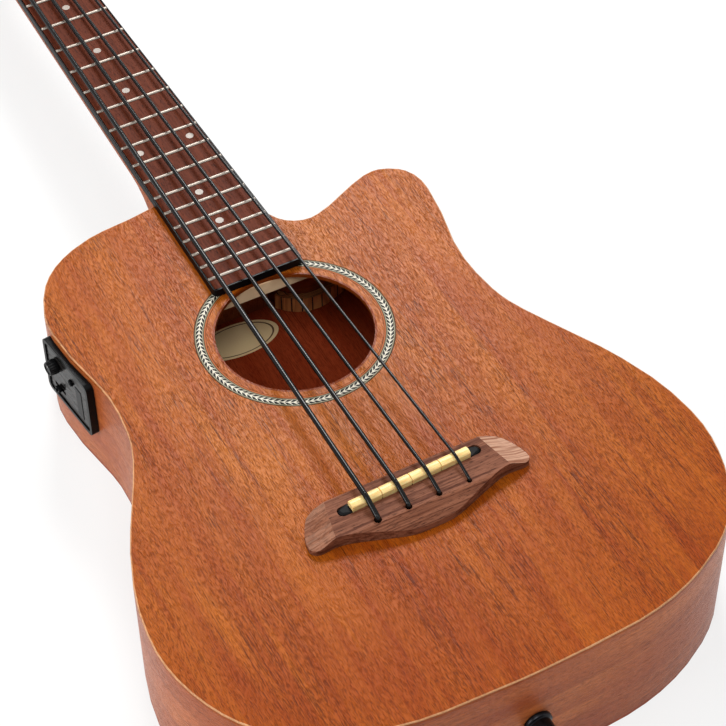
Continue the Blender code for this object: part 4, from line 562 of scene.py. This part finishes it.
def nickel(name, tone, roughness):
    """Drawn nickel silver, dressed with a file and polished along its length."""
    finish, tree = new_finish(name, Metallic=1)
    rub = grain_layer(tree, (6, 0.25, 0.6), 3)
    worn = add_node(tree, "MixRGB", {"Color1": shade(tone), "Color2": shade("#847c74")}, {"Fac": rub})
    dull = {"To Min": roughness - 0.08, "To Max": roughness + 0.1}
    dull = add_node(tree, "MapRange", dull, {"Value": rub})
    feed(tree, Base_Color=worn, Roughness=dull)
    return finish


frets = bmesh.new()
for number in range(1, FRET_COUNT + 1):
    y = fret_y(number)
    reach = board_half(y) - FRET_INSET
    wire = bmesh.ops.create_cone(frets, cap_ends=True, segments=16, radius1=1, radius2=1, depth=2)
    edges = {edge for vertex in wire["verts"] for edge in vertex.link_edges}
    rims = [edge for edge in edges if len({round(vertex.co.z) for vertex in edge.verts}) == 1]
    eased = bmesh.ops.bevel(
        frets, geom=rims, offset=END_ROUND, segments=4, profile=0.5, affect="EDGES", material=-1
    )
    verts = {vertex for vertex in wire["verts"] if vertex.is_valid} | set(eased["verts"])
    for vertex in verts:
        tip = max(0.0, abs(vertex.co.z) - (1 - END_ROUND))
        vertex.co.z = math.copysign(reach - FRET_END * (END_ROUND - tip), vertex.co.z)
    size = Matrix.Diagonal((FRET_HEIGHT, FRET_WIDTH / 2, 1, 1))
    turn = Matrix.Rotation(math.pi / 2, 4, "Y")
    spot = TOP @ Matrix.Translation((0, y, BOARD_TOP))
    bmesh.ops.transform(frets, matrix=spot @ turn @ size, verts=list(verts))
sharpen(frets, 50)
set_piece("frets", frets, nickel("polished_nickel_silver", "#a69c91", 0.5))

dots = bmesh.new()
for number in DOTTED:
    y = (fret_y(number) + fret_y(number - 1)) / 2
    for x in (-DOUBLE_DOT, DOUBLE_DOT) if number == 12 else (0,):
        bmesh.ops.create_cone(
            dots, cap_ends=True, segments=32, radius1=DOT_RADIUS, radius2=DOT_RADIUS, depth=DOT_DEPTH,
            matrix=TOP @ Matrix.Translation((x, y, BOARD_TOP - DOT_SUNK)),
        )


def pearl(name):
    """Plain white inlay plastic with a faint cloudy shimmer."""
    finish, tree = new_finish(name, Roughness=0.3, Specular_IOR_Level=0.12)
    cloud = {"Color1": shade("#c2b7ac"), "Color2": shade("#9c9087")}
    cloud = add_node(tree, "MixRGB", cloud, {"Fac": grain_layer(tree, (2.5, 2.5, 2.5), 3)})
    feed(tree, Base_Color=cloud)
    return finish


sharpen(dots)
set_piece("position_dots", dots, pearl("pearly_white_dots"))


def moulded_black(name, roughness=0.34):
    """Black ABS from the mould. Its spark-eroded grain is drawn at 0.25 mm, coarser than real, to show."""
    finish, tree = new_finish(name, Specular_IOR_Level=0.08)
    speck = grain_layer(tree, (0.25, 0.25, 0.25))
    tint = add_node(tree, "MixRGB", {"Color1": shade("#050505"), "Color2": shade("#0f0f10")}, {"Fac": speck})
    dull = {"To Min": roughness - 0.08, "To Max": roughness + 0.08}
    dull = add_node(tree, "MapRange", dull, {"Value": speck})
    rough = add_node(tree, "Bump", {"Strength": 0.25, "Distance": 0.00004}, {"Height": speck})
    feed(tree, Base_Color=tint, Roughness=dull, Normal=rough)
    return finish


worked("fretboard_edging", "fretboard_binding", moulded_black("scraped_black_binding"), 0.0004)

# Nut and saddles: ivory-coloured bone, sawn to blocks, filed and polished. Each string has its own saddle
# block. They stand on a black strip whose two ends rise round beside them.
STRIP_TOP = 0.0092
STRIP_END = 0.0400


def bone(name):
    """Polished bone: creamy, slightly see-through, with fine fibres along X."""
    finish, tree = new_finish(
        name, Roughness=0.38, Specular_IOR_Level=0.3, Subsurface_Weight=0.08, Subsurface_Scale=0.002
    )
    fibre = grain_layer(tree, (9, 0.7, 0.7), 3)
    fibre = add_node(tree, "MapRange", {"From Min": 0.4, "From Max": 0.65}, {"Value": fibre})
    tone = add_node(tree, "MixRGB", {"Color1": shade("#fde09a"), "Color2": shade("#efc378")}, {"Fac": fibre})
    scratch = add_node(tree, "Bump", {"Strength": 0.2, "Distance": 0.00005}, {"Height": fibre})
    feed(tree, Base_Color=tone, Normal=scratch)
    return finish


BONE = bone("polished_bone")
worked("nut_bone", "nut", BONE, 0.0003)
for string in "eadg":
    worked("saddle_block_" + string, "saddle_" + string, BONE, 0.0004)


def strip_end(first, second):
    """The strip's top corners, past the last saddle block on either side."""
    return min(first.z, second.z) > STRIP_TOP and min(abs(first.x), abs(second.x)) > STRIP_END


STRIP_BLACK = moulded_black("glossy_black_strip", 0.5)
strip = worked("pickup_strip_ends", "pickup_strip", STRIP_BLACK, 0.0022, strip_end)
strip.modifiers["eased_edges"].use_clamp_overlap = False

# Bridge: walnut-coloured rosewood, sawn to a wing shape, pared down to its wings and its front edge by a
# rasp, and glued to the top. Its grain runs across the strings. The pared faces are fresh wood, paler and
# more streaked than the oiled face. The treble wing is painted much paler than the bass wing: painted light.
ACROSS_STRINGS = (True, False, False)
WING_SLANT = math.tan(math.radians(13))
WING_START = 0.0522
BRIDGE_TONES = ("#875640", "#593020", "#2c130c")
BRIDGE_WOOD = rosewood("oiled_bridge_rosewood", BRIDGE_TONES, ACROSS_STRINGS, 0.5, 7)
PARED_AND_LIT_WOOD = rosewood("pared_bridge_rosewood_painted_light", BRIDGE_TONES, ACROSS_STRINGS, 0.5, 7)
tree = PARED_AND_LIT_WOOD.node_tree
axes = add_node(tree, "SeparateXYZ", None, {0: add_node(tree, "TexCoord").outputs["Object"]})
# Paler pared faces, and painted light: far paler on the treble wing than on the bass wing.
pared_paleness_and_light = {"From Min": -0.05, "From Max": 0.05, "To Min": 0.2, "To Max": 0.75}
pared_paleness_and_light = add_node(tree, "MapRange", pared_paleness_and_light, {"Value": axes.outputs["X"]})
streaks = grain_layer(tree, (44, 1.3, 30), 3, 0.5)
streaks = add_node(tree, "MapRange", {"From Min": 0.4, "From Max": 0.6}, {"Value": streaks})
fresh = add_node(tree, "MixRGB", {"Color1": shade("#d8ab90"), "Color2": shade("#96644c")}, {"Fac": streaks})
paler_and_lit_tone = add_node(tree, "MixRGB", None, {"Fac": pared_paleness_and_light, "Color1": colour_so_far(tree), "Color2": fresh})
feed(tree, Base_Color=paler_and_lit_tone)


def bridge_corner(first, second):
    """All corners above the glue line."""
    return min(first.z, second.z) > 0.0007


bridge_wing = worked("bridge_wing", "bridge", BRIDGE_WOOD, 0.0005, bridge_corner, crease=9)
bridge_wing.data.materials.append(PARED_AND_LIT_WOOD)
for face in bridge_wing.data.polygons:
    past = abs(face.center.x) + face.center.y * WING_SLANT
    face.material_index = 1 if past > WING_START and face.normal.z > 0.6 else 0

# Strings: a cord core wound in flat black nylon tape, smooth enough for a broad gloss with a faint slanted
# line at each turn of the tape. Each comes up through the bridge, crosses its saddle and the nut, and ends
# in turns round its post.
GAUGES = (0.0034, 0.0029, 0.0024, 0.0019)
TAPE_WIDTH = 0.0017
BRIDGE_SPACING = 0.0198
NUT_SPACING = 0.0112
STRING_HOLE_Y = -0.0203
TOP_THICKNESS = 0.0028
PLATE_THICKNESS = 0.0025
BRIDGE_TOP = 0.0090
SADDLE_Y = -0.0036
SADDLE_TOP = 0.0130
SADDLE_SLANT = math.radians(2.4)
NUT_MIDDLE = 0.00125
NUT_RISE = 0.0015
POSTS = ((-0.0240, 0.0560), (-0.0210, 0.1120), (0.0210, 0.1120), (0.0240, 0.0560))
POST_RADIUS = 0.0050
POST_CLEARANCE = 0.0004
COIL_TOP = 0.0125
COIL_BOTTOM = 0.0015
COIL_GAP = 0.0005
STRING_SEAT = 0.0003
SADDLE_BEND = 0.0024
HOLE_BEND = 0.0007
TURN_STEPS = 48
TURN_ANGLE = math.tau / TURN_STEPS


def tape_wound(name):
    """Black nylon tape, glossy on its flat and dull in the seam between two turns. The seam is painted a
    touch darker: painted shade in the groove.
    """
    finish, tree = new_finish(name, Specular_IOR_Level=0.2)
    place = add_node(tree, "UVMap", {"uv_map": "UVMap"})
    axes = add_node(tree, "SeparateXYZ", None, {0: place})
    turns = {"operation": "MULTIPLY_ADD", 1: 1 / TAPE_WIDTH}
    turns = add_node(tree, "Math", turns, {0: axes.outputs["X"], 2: axes.outputs["Y"]})
    cycle = add_node(tree, "Math", {"operation": "FRACT"}, {0: turns})
    crown = add_node(tree, "Math", {"operation": "PINGPONG", 1: 0.5}, {0: cycle})
    seam = add_node(tree, "MapRange", {"From Min": 0, "From Max": 0.14}, {"Value": crown})
    # Painted shade: the seam a touch darker than the flat.
    tint = add_node(tree, "MixRGB", {"Color1": shade("#010101"), "Color2": shade("#040404")}, {"Fac": seam})
    dull = add_node(tree, "MapRange", {"To Min": 0.22, "To Max": 0.07}, {"Value": seam})
    edge = add_node(tree, "Bump", {"Strength": 0.3, "Distance": 0.0001}, {"Height": seam})
    feed(tree, Base_Color=tint, Roughness=dull, Normal=edge)
    return finish


def coil_radius(index):
    """How far the middle of a string lies from its post's axis."""
    return POST_RADIUS + GAUGES[index] / 2 + POST_CLEARANCE


def on_post(index, angle, height):
    """A point on the turns round a post, in the frame of the top."""
    x, y = POSTS[index]
    reach = coil_radius(index)
    return TO_TOP @ HEAD @ Vector((x + reach * math.cos(angle), y + reach * math.sin(angle), height))


def first_touch(index, crown):
    """Where round its post the string first meets it."""
    start = (TO_TOP @ HEAD).inverted() @ crown
    centre = Vector(POSTS[index])
    span = centre - start.xy
    lean = math.asin(coil_radius(index) / span.length)
    heading = math.atan2(span.y, span.x)
    side = -1 if centre.x < 0 else 1
    return heading + side * (lean + math.pi / 2)


def string_line(index):
    """The string's centre line, from its ball under the bridge plate to its last turn on the post."""
    radius = GAUGES[index] / 2
    x = (index - 1.5) * BRIDGE_SPACING
    ball = 2 * radius
    under = -TOP_THICKNESS - GLUE_GAP - PLATE_THICKNESS - GLUE_GAP
    points = [Vector((x, STRING_HOLE_Y, under - ball * (1.9 - 0.1125 * step))) for step in range(17)]
    swell = [math.sqrt(max(0.02, 1 - (1 - step / 8) ** 2)) * 2 for step in range(16)] + [1]
    swell = [max(1, width) if step > 8 else max(0.4, width) for step, width in enumerate(swell)]
    saddle = Vector((x, SADDLE_Y + x * math.tan(SADDLE_SLANT), SADDLE_TOP + STRING_SEAT + radius))
    crown = Vector(((index - 1.5) * NUT_SPACING, SCALE_LENGTH + NUT_MIDDLE, BOARD_TOP + NUT_RISE + radius))
    bend = radius + HOLE_BEND
    rim = Vector((x, STRING_HOLE_Y + bend, BRIDGE_TOP))
    onto = saddle - Vector((0, 0.0021, 0.00015))
    reach = onto - rim
    last = math.atan2(reach.z, reach.y) + math.acos(bend / reach.length)
    for step in range(13):
        angle = math.pi + (last - math.pi) * step / 12
        points.append(rim + bend * Vector((0, math.cos(angle), math.sin(angle))))
    touch = first_touch(index, crown)
    meet = on_post(index, touch, COIL_TOP)
    for before, corner, after in ((onto, saddle, crown), (saddle, crown, meet)):
        into = (before - corner).normalized() * min(SADDLE_BEND, (before - corner).length)
        away = (after - corner).normalized() * SADDLE_BEND
        for step in range(7):
            share = step / 6
            points.append(corner + into * (1 - share) ** 2 + away * share**2)
    turn = TURN_ANGLE if POSTS[index][0] < 0 else -TURN_ANGLE
    points += [on_post(index, touch + step * turn, COIL_TOP) for step in range(37)]
    return points, swell + [1] * (len(points) - len(swell)), touch


def wound_tube(name, points, radius, widths=None):
    """A round tube along the points. Its UV runs in metres along it and once round it."""
    line = bpy.data.curves.new(name, "CURVE")
    line.dimensions = "3D"
    line.bevel_depth = radius
    line.bevel_resolution = 6
    line.use_fill_caps = True
    path = line.splines.new("POLY")
    path.points.add(len(points) - 1)
    run = [0.0]
    for number, (point, spot) in enumerate(zip(path.points, points)):
        point.co = (*spot, 1)
        point.radius = widths[number] if widths else 1
        if number:
            run.append(run[-1] + (spot - points[number - 1]).length)
    holder = bpy.data.objects.new(name, line)
    scene.collection.objects.link(holder)
    bpy.context.view_layer.update()
    drawn = holder.evaluated_get(bpy.context.evaluated_depsgraph_get())
    mesh = bpy.data.meshes.new_from_object(drawn)
    bpy.data.objects.remove(holder)
    for loop in mesh.uv_layers[0].data:
        along = loop.uv.x * (len(points) - 1)
        step = min(int(along), len(points) - 2)
        loop.uv.x = run[step] + (run[step + 1] - run[step]) * (along - step)
    bm = bmesh.new()
    bm.from_mesh(mesh)
    bmesh.ops.remove_doubles(bm, verts=bm.verts, dist=0.000001)
    bmesh.ops.recalc_face_normals(bm, faces=bm.faces)
    sharpen(bm, 60)
    return bm


STRING_BLACK = tape_wound("black_nylon_tape")
for index, string in enumerate("eadg"):
    points, widths, touch = string_line(index)
    name = "string_run_" + string
    wire = wound_tube(name, [TOP @ point for point in points], GAUGES[index] / 2, widths)
    set_piece(name, wire, STRING_BLACK, stands_for=("string_" + string,))
    pitch = GAUGES[index] + COIL_GAP
    room = COIL_TOP - pitch - (COIL_BOTTOM + GAUGES[index] / 2 + STRING_SEAT)
    turns = math.floor(4 * room / pitch) / 4
    direction = 1 if POSTS[index][0] < 0 else -1
    coil = []
    for step in range(int(turns * TURN_STEPS) + 1):
        angle = touch + direction * (1.5 * math.pi + step * TURN_ANGLE)
        coil.append(TOP @ on_post(index, angle, COIL_TOP - pitch - pitch * step / TURN_STEPS))
    name = "string_turns_" + string
    wire = wound_tube(name, coil, GAUGES[index] / 2)
    set_piece(name, wire, STRING_BLACK, "post_" + string, ("winding_" + string,))

# Headstock fittings: a black plastic cover over the truss rod's nut, held by three small screws in black
# nickel plate. The rod and its nut are bright steel.
COVER_SCREWS = ((-0.0070, 0.0035), (0.0070, 0.0035), (0, 0.0275))
COVER_FACE = 0.0021


def spun(profile, matrix, steps=48):
    """A turned shape: points (radius, height) spun a full turn round Z, then put in place."""
    bm = bmesh.new()
    points = [bm.verts.new((radius, 0, height)) for radius, height in profile]
    for first, second in zip(points, points[1:]):
        bm.edges.new((first, second))
    bmesh.ops.spin(
        bm, geom=bm.verts[:] + bm.edges[:], cent=(0, 0, 0), axis=(0, 0, 1), angle=math.tau, steps=steps,
        use_merge=True,
    )
    bmesh.ops.remove_doubles(bm, verts=bm.verts, dist=0.000001)
    bmesh.ops.recalc_face_normals(bm, faces=bm.faces)
    bmesh.ops.transform(bm, matrix=matrix, verts=bm.verts)
    sharpen(bm)
    return bm


def add_screw(into, matrix, radius=0.0013):
    """A small oval-head screw with a cross cut in it, added to a group of screws."""
    head = [(0, 0.00075), (radius * 0.45, 0.0007), (radius * 0.8, 0.0005), (radius, 0.0002), (radius, 0)]
    screw = spun(head + [(0, 0)], Matrix(), 24)
    mesh = bpy.data.meshes.new("screw_head")
    screw.to_mesh(mesh)
    screw.free()
    before = len(into.verts)
    into.from_mesh(mesh)
    bpy.data.meshes.remove(mesh)
    into.verts.ensure_lookup_table()
    bmesh.ops.transform(into, matrix=matrix, verts=into.verts[before:])
    for turn in (0, math.pi / 2):
        bar = Matrix.Rotation(turn, 4, "Z") @ Matrix.Diagonal((radius * 1.1, radius * 0.22, 0.0002, 1))
        bmesh.ops.create_cube(into, size=1, matrix=matrix @ Matrix.Translation((0, 0, 0.00072)) @ bar)


def plated_black(name):
    """Steel with a black nickel plating: dark, metallic and a little streaked by polishing."""
    finish, tree = new_finish(name, Metallic=1)
    rub = grain_layer(tree, (0.4, 3, 3), 3)
    tint = add_node(tree, "MixRGB", {"Color1": shade("#151517"), "Color2": shade("#29292c")}, {"Fac": rub})
    dull = add_node(tree, "MapRange", {"To Min": 0.22, "To Max": 0.38}, {"Value": rub})
    feed(tree, Base_Color=tint, Roughness=dull)
    return finish


PLATED = plated_black("black_nickel_plate")
worked("truss_cover_plate", "truss_cover", moulded_black("cover_black_abs", 0.3), 0.0005)
cover_screws = bmesh.new()
for x, y in COVER_SCREWS:
    add_screw(cover_screws, HEAD @ Matrix.Translation((x, y, COVER_FACE)))
sharpen(cover_screws)
set_piece("cover_screws", cover_screws, PLATED)
STEEL = nickel("bright_steel", "#b9b8b4", 0.34)
refinish("truss_rod", STEEL)
refinish("truss_nut", STEEL)

# Tuners: four open-geared machines in black nickel plate. A flanged capstan stands on the head, its gear
# turns behind it, and a worm on the button's shaft drives the gear between the two lugs of the plate.
CAPSTAN = 0.0180
GEAR_PLANE = -0.0200
GEAR_TEETH = 15
GEAR_TIP = 0.00815
GEAR_ROOT = 0.00715
WORM_OFFSET = 0.0107
WORM_LENGTH = 0.0095
HEAD_HALF = 0.0380
BUTTON_STAND = 0.0060
BUTTON = (0.0200, 0.0170, 0.0060)
PLATE_BACK = -0.0165
PLATE_SCREW = (0.0058, 0.0060)

for index, string in enumerate("eadg"):
    x, y = POSTS[index]
    side = -1 if x < 0 else 1
    stand = HEAD @ Matrix.Translation((x, y, 0))
    post = spun(
        [
            (0, CAPSTAN - 0.0012), (0.0018, CAPSTAN - 0.0012), (0.0018, CAPSTAN - 0.0002),
            (0.0022, CAPSTAN), (0.0046, CAPSTAN), (0.0050, CAPSTAN - 0.0004), (0.0060, CAPSTAN - 0.0010),
            (0.0062, CAPSTAN - 0.0014), (0.0062, CAPSTAN - 0.0020), (0.0058, CAPSTAN - 0.0025),
            (0.0050, CAPSTAN - 0.0030), (0.0050, 0.0018), (0.0062, 0.0015), (0.0062, 0.0005),
            (0.0060, 0.0003), (0.0040, 0.0003), (0.0040, -0.01825), (0.0030, -0.01825), (0.0030, -0.0229),
            (0.0026, -0.0230), (0, -0.0230),
        ],
        stand,
    )
    steps = 4 * GEAR_TEETH
    gear = bmesh.ops.create_cone(post, cap_ends=True, segments=steps, radius1=1, radius2=1, depth=0.0035)
    for vertex in gear["verts"]:
        tooth = int(round(math.atan2(vertex.co.y, vertex.co.x) / math.tau * steps + steps)) % 4
        vertex.co.xy *= GEAR_TIP if tooth in (1, 2) else GEAR_ROOT
    turn = Matrix.Rotation(math.tau / GEAR_TEETH / 8, 4, "Z")
    spot = stand @ Matrix.Translation((0, 0, GEAR_PLANE))
    bmesh.ops.transform(post, matrix=spot @ turn, verts=gear["verts"])
    sharpen(post)
    set_piece("capstan_" + string, post, PLATED, "post_" + string, ("tuner_post_" + string,))

    axis = HEAD @ Matrix.Translation((x, y - WORM_OFFSET, GEAR_PLANE))
    axis = axis @ Matrix.Rotation(side * math.pi / 2, 4, "Y")
    reach = HEAD_HALF - abs(x) + BUTTON_STAND
    shaft = spun(
        [
            (0, -0.0095), (0.0018, -0.0095), (0.0020, -0.0092), (0.0020, -0.0055), (0.0023, -0.0054),
            (0.0023, 0.0054), (0.0020, 0.0055), (0.0020, reach - 0.0040), (0.0030, reach - 0.0034),
            (0.0032, reach - 0.0010), (0.0028, reach - 0.0002), (0.0015, reach), (0, reach),
        ],
        Matrix(), 32,
    )
    outline = ((0.0022, 0, -0.0056), (0.0032, 0, -0.0050), (0.0032, 0, -0.0047), (0.0022, 0, -0.0041))
    thread = [shaft.verts.new(spot) for spot in outline]
    profile = [shaft.edges.new((thread[step], thread[(step + 1) % 4])) for step in range(4)]
    start = shaft.faces.new(thread)
    lead = math.tau * (GEAR_TIP + GEAR_ROOT) / 2 / GEAR_TEETH
    bmesh.ops.spin(
        shaft, geom=thread + profile + [start], cent=(0, 0, 0), axis=(0, 0, 1), dvec=(0, 0, lead / 24),
        angle=math.tau * WORM_LENGTH / lead, steps=int(24 * WORM_LENGTH / lead),
    )
    grip = bmesh.ops.create_uvsphere(shaft, u_segments=32, v_segments=20, radius=1)
    for vertex in grip["verts"]:
        for number, power in ((0, 0.75), (2, 0.8)):
            vertex.co[number] = math.copysign(abs(vertex.co[number]) ** power, vertex.co[number])
    shape = Matrix.Diagonal((BUTTON[2] / 2, BUTTON[1] / 2 * 0.94, BUTTON[0] / 2, 1))
    spot = Matrix.Translation((0, 0, reach + BUTTON[0] / 2 - 0.0020))
    bmesh.ops.transform(shaft, matrix=spot @ shape, verts=grip["verts"])
    bmesh.ops.transform(shaft, matrix=axis, verts=shaft.verts)
    bmesh.ops.recalc_face_normals(shaft, faces=shaft.faces)
    sharpen(shaft)
    set_piece("worm_and_button_" + string, shaft, PLATED, "key_" + string, ("tuner_key_" + string,))
    worked("machine_plate_" + string, "tuner_plate_" + string, PLATED, 0.0003)

plate_screws = bmesh.new()
for x, y in POSTS:
    for side in (-1, 1):
        spot = Matrix.Translation((x + side * PLATE_SCREW[0], y + PLATE_SCREW[1], PLATE_BACK))
        add_screw(plate_screws, HEAD @ spot @ Matrix.Rotation(math.pi, 4, "X"), 0.0012)
sharpen(plate_screws)
set_piece("machine_screws", plate_screws, PLATED)

# Preamp: one black ABS moulding let into the bass side, its frame standing proud of the wood. A glossy face
# carries a knurled volume knob, a tuner button, a tone slider and the mouth of the battery drawer.
PREAMP_SPOT = (-0.1293909, 0.1897705, -0.0275)
PREAMP_TURN = math.radians(6.33132)
PREAMP = TOP @ Matrix.Translation(PREAMP_SPOT) @ Matrix.Rotation(PREAMP_TURN, 4, "Z")
FROM_PREAMP = PREAMP.inverted()
FACE = -0.0028
FRAME_PROUD = 0.0030
OUTWARDS = Matrix.Rotation(-math.pi / 2, 4, "Y")
KNOB_SPOT = (0, 0.0130, 0.0080)
KNOB_HEIGHT = 0.0062
KNURLS = 24
SLIDER_SPOT = (FACE, 0.0120, -0.0120)
PREAMP_BLACK = moulded_black("preamp_black_abs", 0.32)


def frame_corner(first, second):
    """The corners of the frame that stand proud of the side."""
    ends = [FROM_PREAMP @ TOP @ point for point in (first, second)]
    return max(end.x for end in ends) < -FRAME_PROUD


worked("preamp_moulding", "preamp_housing", PREAMP_BLACK, 0.0009, frame_corner)


def glossy_face(name):
    """Polished acrylic, nearly black, with faint rub marks that catch the light: they are rougher, and
    painted lighter as a painted glint.
    """
    finish, tree = new_finish(name, Specular_IOR_Level=0.12)
    rub = grain_layer(tree, (8, 9, 0.9), 4, 0.4)
    rub = add_node(tree, "MapRange", {"From Min": 0.42, "From Max": 0.62}, {"Value": rub})
    # Rub marks painted lighter: painted glints.
    tint = add_node(tree, "MixRGB", {"Color1": shade("#060606"), "Color2": shade("#24211f")}, {"Fac": rub})
    dull = add_node(tree, "MapRange", {"To Min": 0.1, "To Max": 0.4}, {"Value": rub})
    feed(tree, Base_Color=tint, Roughness=dull)
    return finish


worked("preamp_face", "preamp_panel", glossy_face("polished_black_acrylic"), 0.0002)
KNOB_BLACK = moulded_black("knob_black_abs", 0.26)
knob_place = PREAMP @ Matrix.Translation(KNOB_SPOT) @ OUTWARDS
base = -FACE + 0.0003
cap = base + KNOB_HEIGHT
knob = spun(
    [
        (0, cap - 0.0005), (0.0034, cap - 0.0005), (0.0038, cap), (0.0042, cap),
        (0.0046, cap - 0.0006), (0.0050, base + 0.0010), (0.0049, base + 0.0002), (0.0047, base),
        (0.0015, base), (0.0015, base - 0.0070), (0, base - 0.0070),
    ],
    Matrix(), 3 * KNURLS,
)
for vertex in knob.verts:
    groove = int(round(math.atan2(vertex.co.y, vertex.co.x) / math.tau * 3 * KNURLS)) % 3
    if 0.0044 < vertex.co.xy.length < 0.0052 and groove:
        vertex.co.xy *= 0.965
bmesh.ops.transform(knob, matrix=knob_place, verts=knob.verts)
sharpen(knob, 25)
set_piece("volume_knob_grip", knob, KNOB_BLACK, "volume_knob", ("volume_knob",))
PRINT_GREY, tree = new_finish("printed_grey_mark", Roughness=0.5)
worn = {"Color1": shade("#b4b3ae"), "Color2": shade("#8f8e8a")}
feed(tree, Base_Color=add_node(tree, "MixRGB", worn, {"Fac": grain_layer(tree, (0.3, 0.3, 0.3))}))
pointer = bmesh.new()
bar = Matrix.Translation((0.0026, 0, cap - 0.0004)) @ Matrix.Diagonal((0.0024, 0.0005, 0.0002, 1))
bmesh.ops.create_cube(pointer, size=1, matrix=knob_place @ bar)
set_piece("knob_pointer", pointer, PRINT_GREY, "volume_knob")
worked("tuner_button_cap", "tuner_button", KNOB_BLACK, 0.0002, body="tuner_button")
slider = bmesh.new()
slider_place = PREAMP @ Matrix.Translation(SLIDER_SPOT)
for size, out in (
    ((0.0022, 0.0046, 0.0030), 0.0014), ((0.0012, 0.0012, 0.0030), 0.0030),
    ((0.0060, 0.0022, 0.0022), -0.0025),
):
    bar = bmesh.ops.create_cube(slider, size=1)
    edges = {edge for vertex in bar["verts"] for edge in vertex.link_edges}
    shape = slider_place @ Matrix.Translation((-out, 0, 0)) @ Matrix.Diagonal((*size, 1))
    bmesh.ops.transform(slider, matrix=shape, verts=bar["verts"])
    bmesh.ops.bevel(
        slider, geom=list(edges), offset=0.0004, segments=3, profile=0.5, affect="EDGES", material=-1
    )
sharpen(slider)
set_piece("tone_slider_cap", slider, KNOB_BLACK, "tone_slider", ("tone_slider",))
worked("battery_drawer", "battery_tray", PREAMP_BLACK, 0.0003, body="battery_tray")
refinish("battery_cell", STEEL)

# End-pin jack: a sleeve through the tail block, and a strap button turned to two flanges that screws onto it.
JACK_DEPTH = 0.0470
COLLAR_LENGTH = 0.0150
JACK = TOP @ Matrix.Translation((0, 0, -JACK_DEPTH)) @ Matrix.Rotation(math.pi / 2, 4, "X")
refinish("output_jack", PLATED)
foot = TAIL_REACH + GLUE_GAP
tip = TAIL_REACH + COLLAR_LENGTH
collar = spun(
    [
        (0.0063, tip), (0.0066, tip), (0.0072, tip - 0.0004), (0.0076, tip - 0.0012),
        (0.0076, tip - 0.0027), (0.0073, tip - 0.0033), (0.0068, tip - 0.0037), (0.0070, tip - 0.0045),
        (0.0070, foot + 0.0034), (0.0074, foot + 0.0030), (0.0084, foot + 0.0028), (0.0088, foot + 0.0022),
        (0.0088, foot + 0.0004), (0.0085, foot), (0.0063, foot), (0.0063, tip),
    ],
    JACK, 64,
)
set_piece("strap_button", collar, PLATED, stands_for=("jack_collar",))

# Studio: a white floor lit as brightly as it is white. A large softbox beyond the headstock leaves a veil of
# light on the upper half of the top. Three weaker ones light the bass side, the face and what the sound hole
# shows, and the tail.
SKY = 0.2


def seen_ray(tree):
    """1 for the rays that show the background: to the camera, in a gloss, or through glass."""
    ray = add_node(tree, "LightPath")
    seen = {0: ray.outputs["Is Camera Ray"], 1: ray.outputs["Is Glossy Ray"]}
    seen = add_node(tree, "Math", {"operation": "MAXIMUM"}, seen)
    return add_node(tree, "Math", {"operation": "MAXIMUM"}, {0: seen, 1: ray.outputs["Is Transmission Ray"]})


floor = bmesh.new()
bmesh.ops.create_grid(floor, x_segments=1, y_segments=1, size=20)
mesh = bpy.data.meshes.new("studio_floor")
floor.to_mesh(mesh)
floor.free()
paper, tree = new_finish(
    "white_studio_paper", Roughness=0.9, Specular_IOR_Level=0, Base_Color=shade("#f6f8f7")
)
spot = add_node(tree, "TexCoord").outputs["Object"]
away = add_node(tree, "VectorMath", {"operation": "DISTANCE", 1: (0, 0.3, 0)}, {0: spot}).outputs["Value"]
far = {"interpolation_type": "SMOOTHSTEP", "From Min": 0.7, "From Max": 1.8, "To Min": 0.72}
far = add_node(tree, "MapRange", far, {"Value": away})
far_seen = add_node(tree, "Math", {"operation": "MULTIPLY"}, {0: far, 1: seen_ray(tree)})
white = add_node(tree, "Emission", {"Color": (1, 1, 1, 1), "Strength": 1})
lit = tree.nodes["Principled BSDF"]
fade = add_node(tree, "MixShader", None, {0: far_seen, 1: lit, 2: white})
tree.links.new(fade.outputs[0], tree.nodes["Material Output"].inputs["Surface"])
mesh.materials.append(paper)
studio_floor = bpy.data.objects.new("studio_floor", mesh)
scene.collection.objects.link(studio_floor)

world = bpy.data.worlds.new("studio")
scene.world = world
world.use_nodes = True
tree = world.node_tree
level = add_node(tree, "MapRange", {"To Min": SKY, "To Max": 1}, {"Value": seen_ray(tree)})
backdrop = tree.nodes["Background"]
backdrop.inputs["Color"].default_value = (1, 1, 1, 1)
tree.links.new(level.outputs[0], backdrop.inputs["Strength"])

for name, place, aim, size, watts in (
    ("softbox_head", (0.62, 1.38, 1.38), (0, 0.2, 0.1), 0.6, 31.5),
    ("softbox_bass", (-1.9, 0.1, 1.1), (0, 0.1, 0.1), 1.2, 29),
    ("softbox_over", (-0.35, -0.85, 2.2), (0, 0.15, 0.1), 1.0, 21),
    ("softbox_tail", (1.7, -1.3, 1.0), (0, 0, 0.1), 0.9, 6),
):
    light = bpy.data.lights.new(name, "AREA")
    light.shape = "RECTANGLE"
    light.size = light.size_y = size
    light.energy = watts
    lamp = bpy.data.objects.new(name, light)
    lamp.location = place
    lamp.rotation_euler = (Vector(aim) - Vector(place)).to_track_quat("-Z", "Y").to_euler()
    scene.collection.objects.link(lamp)
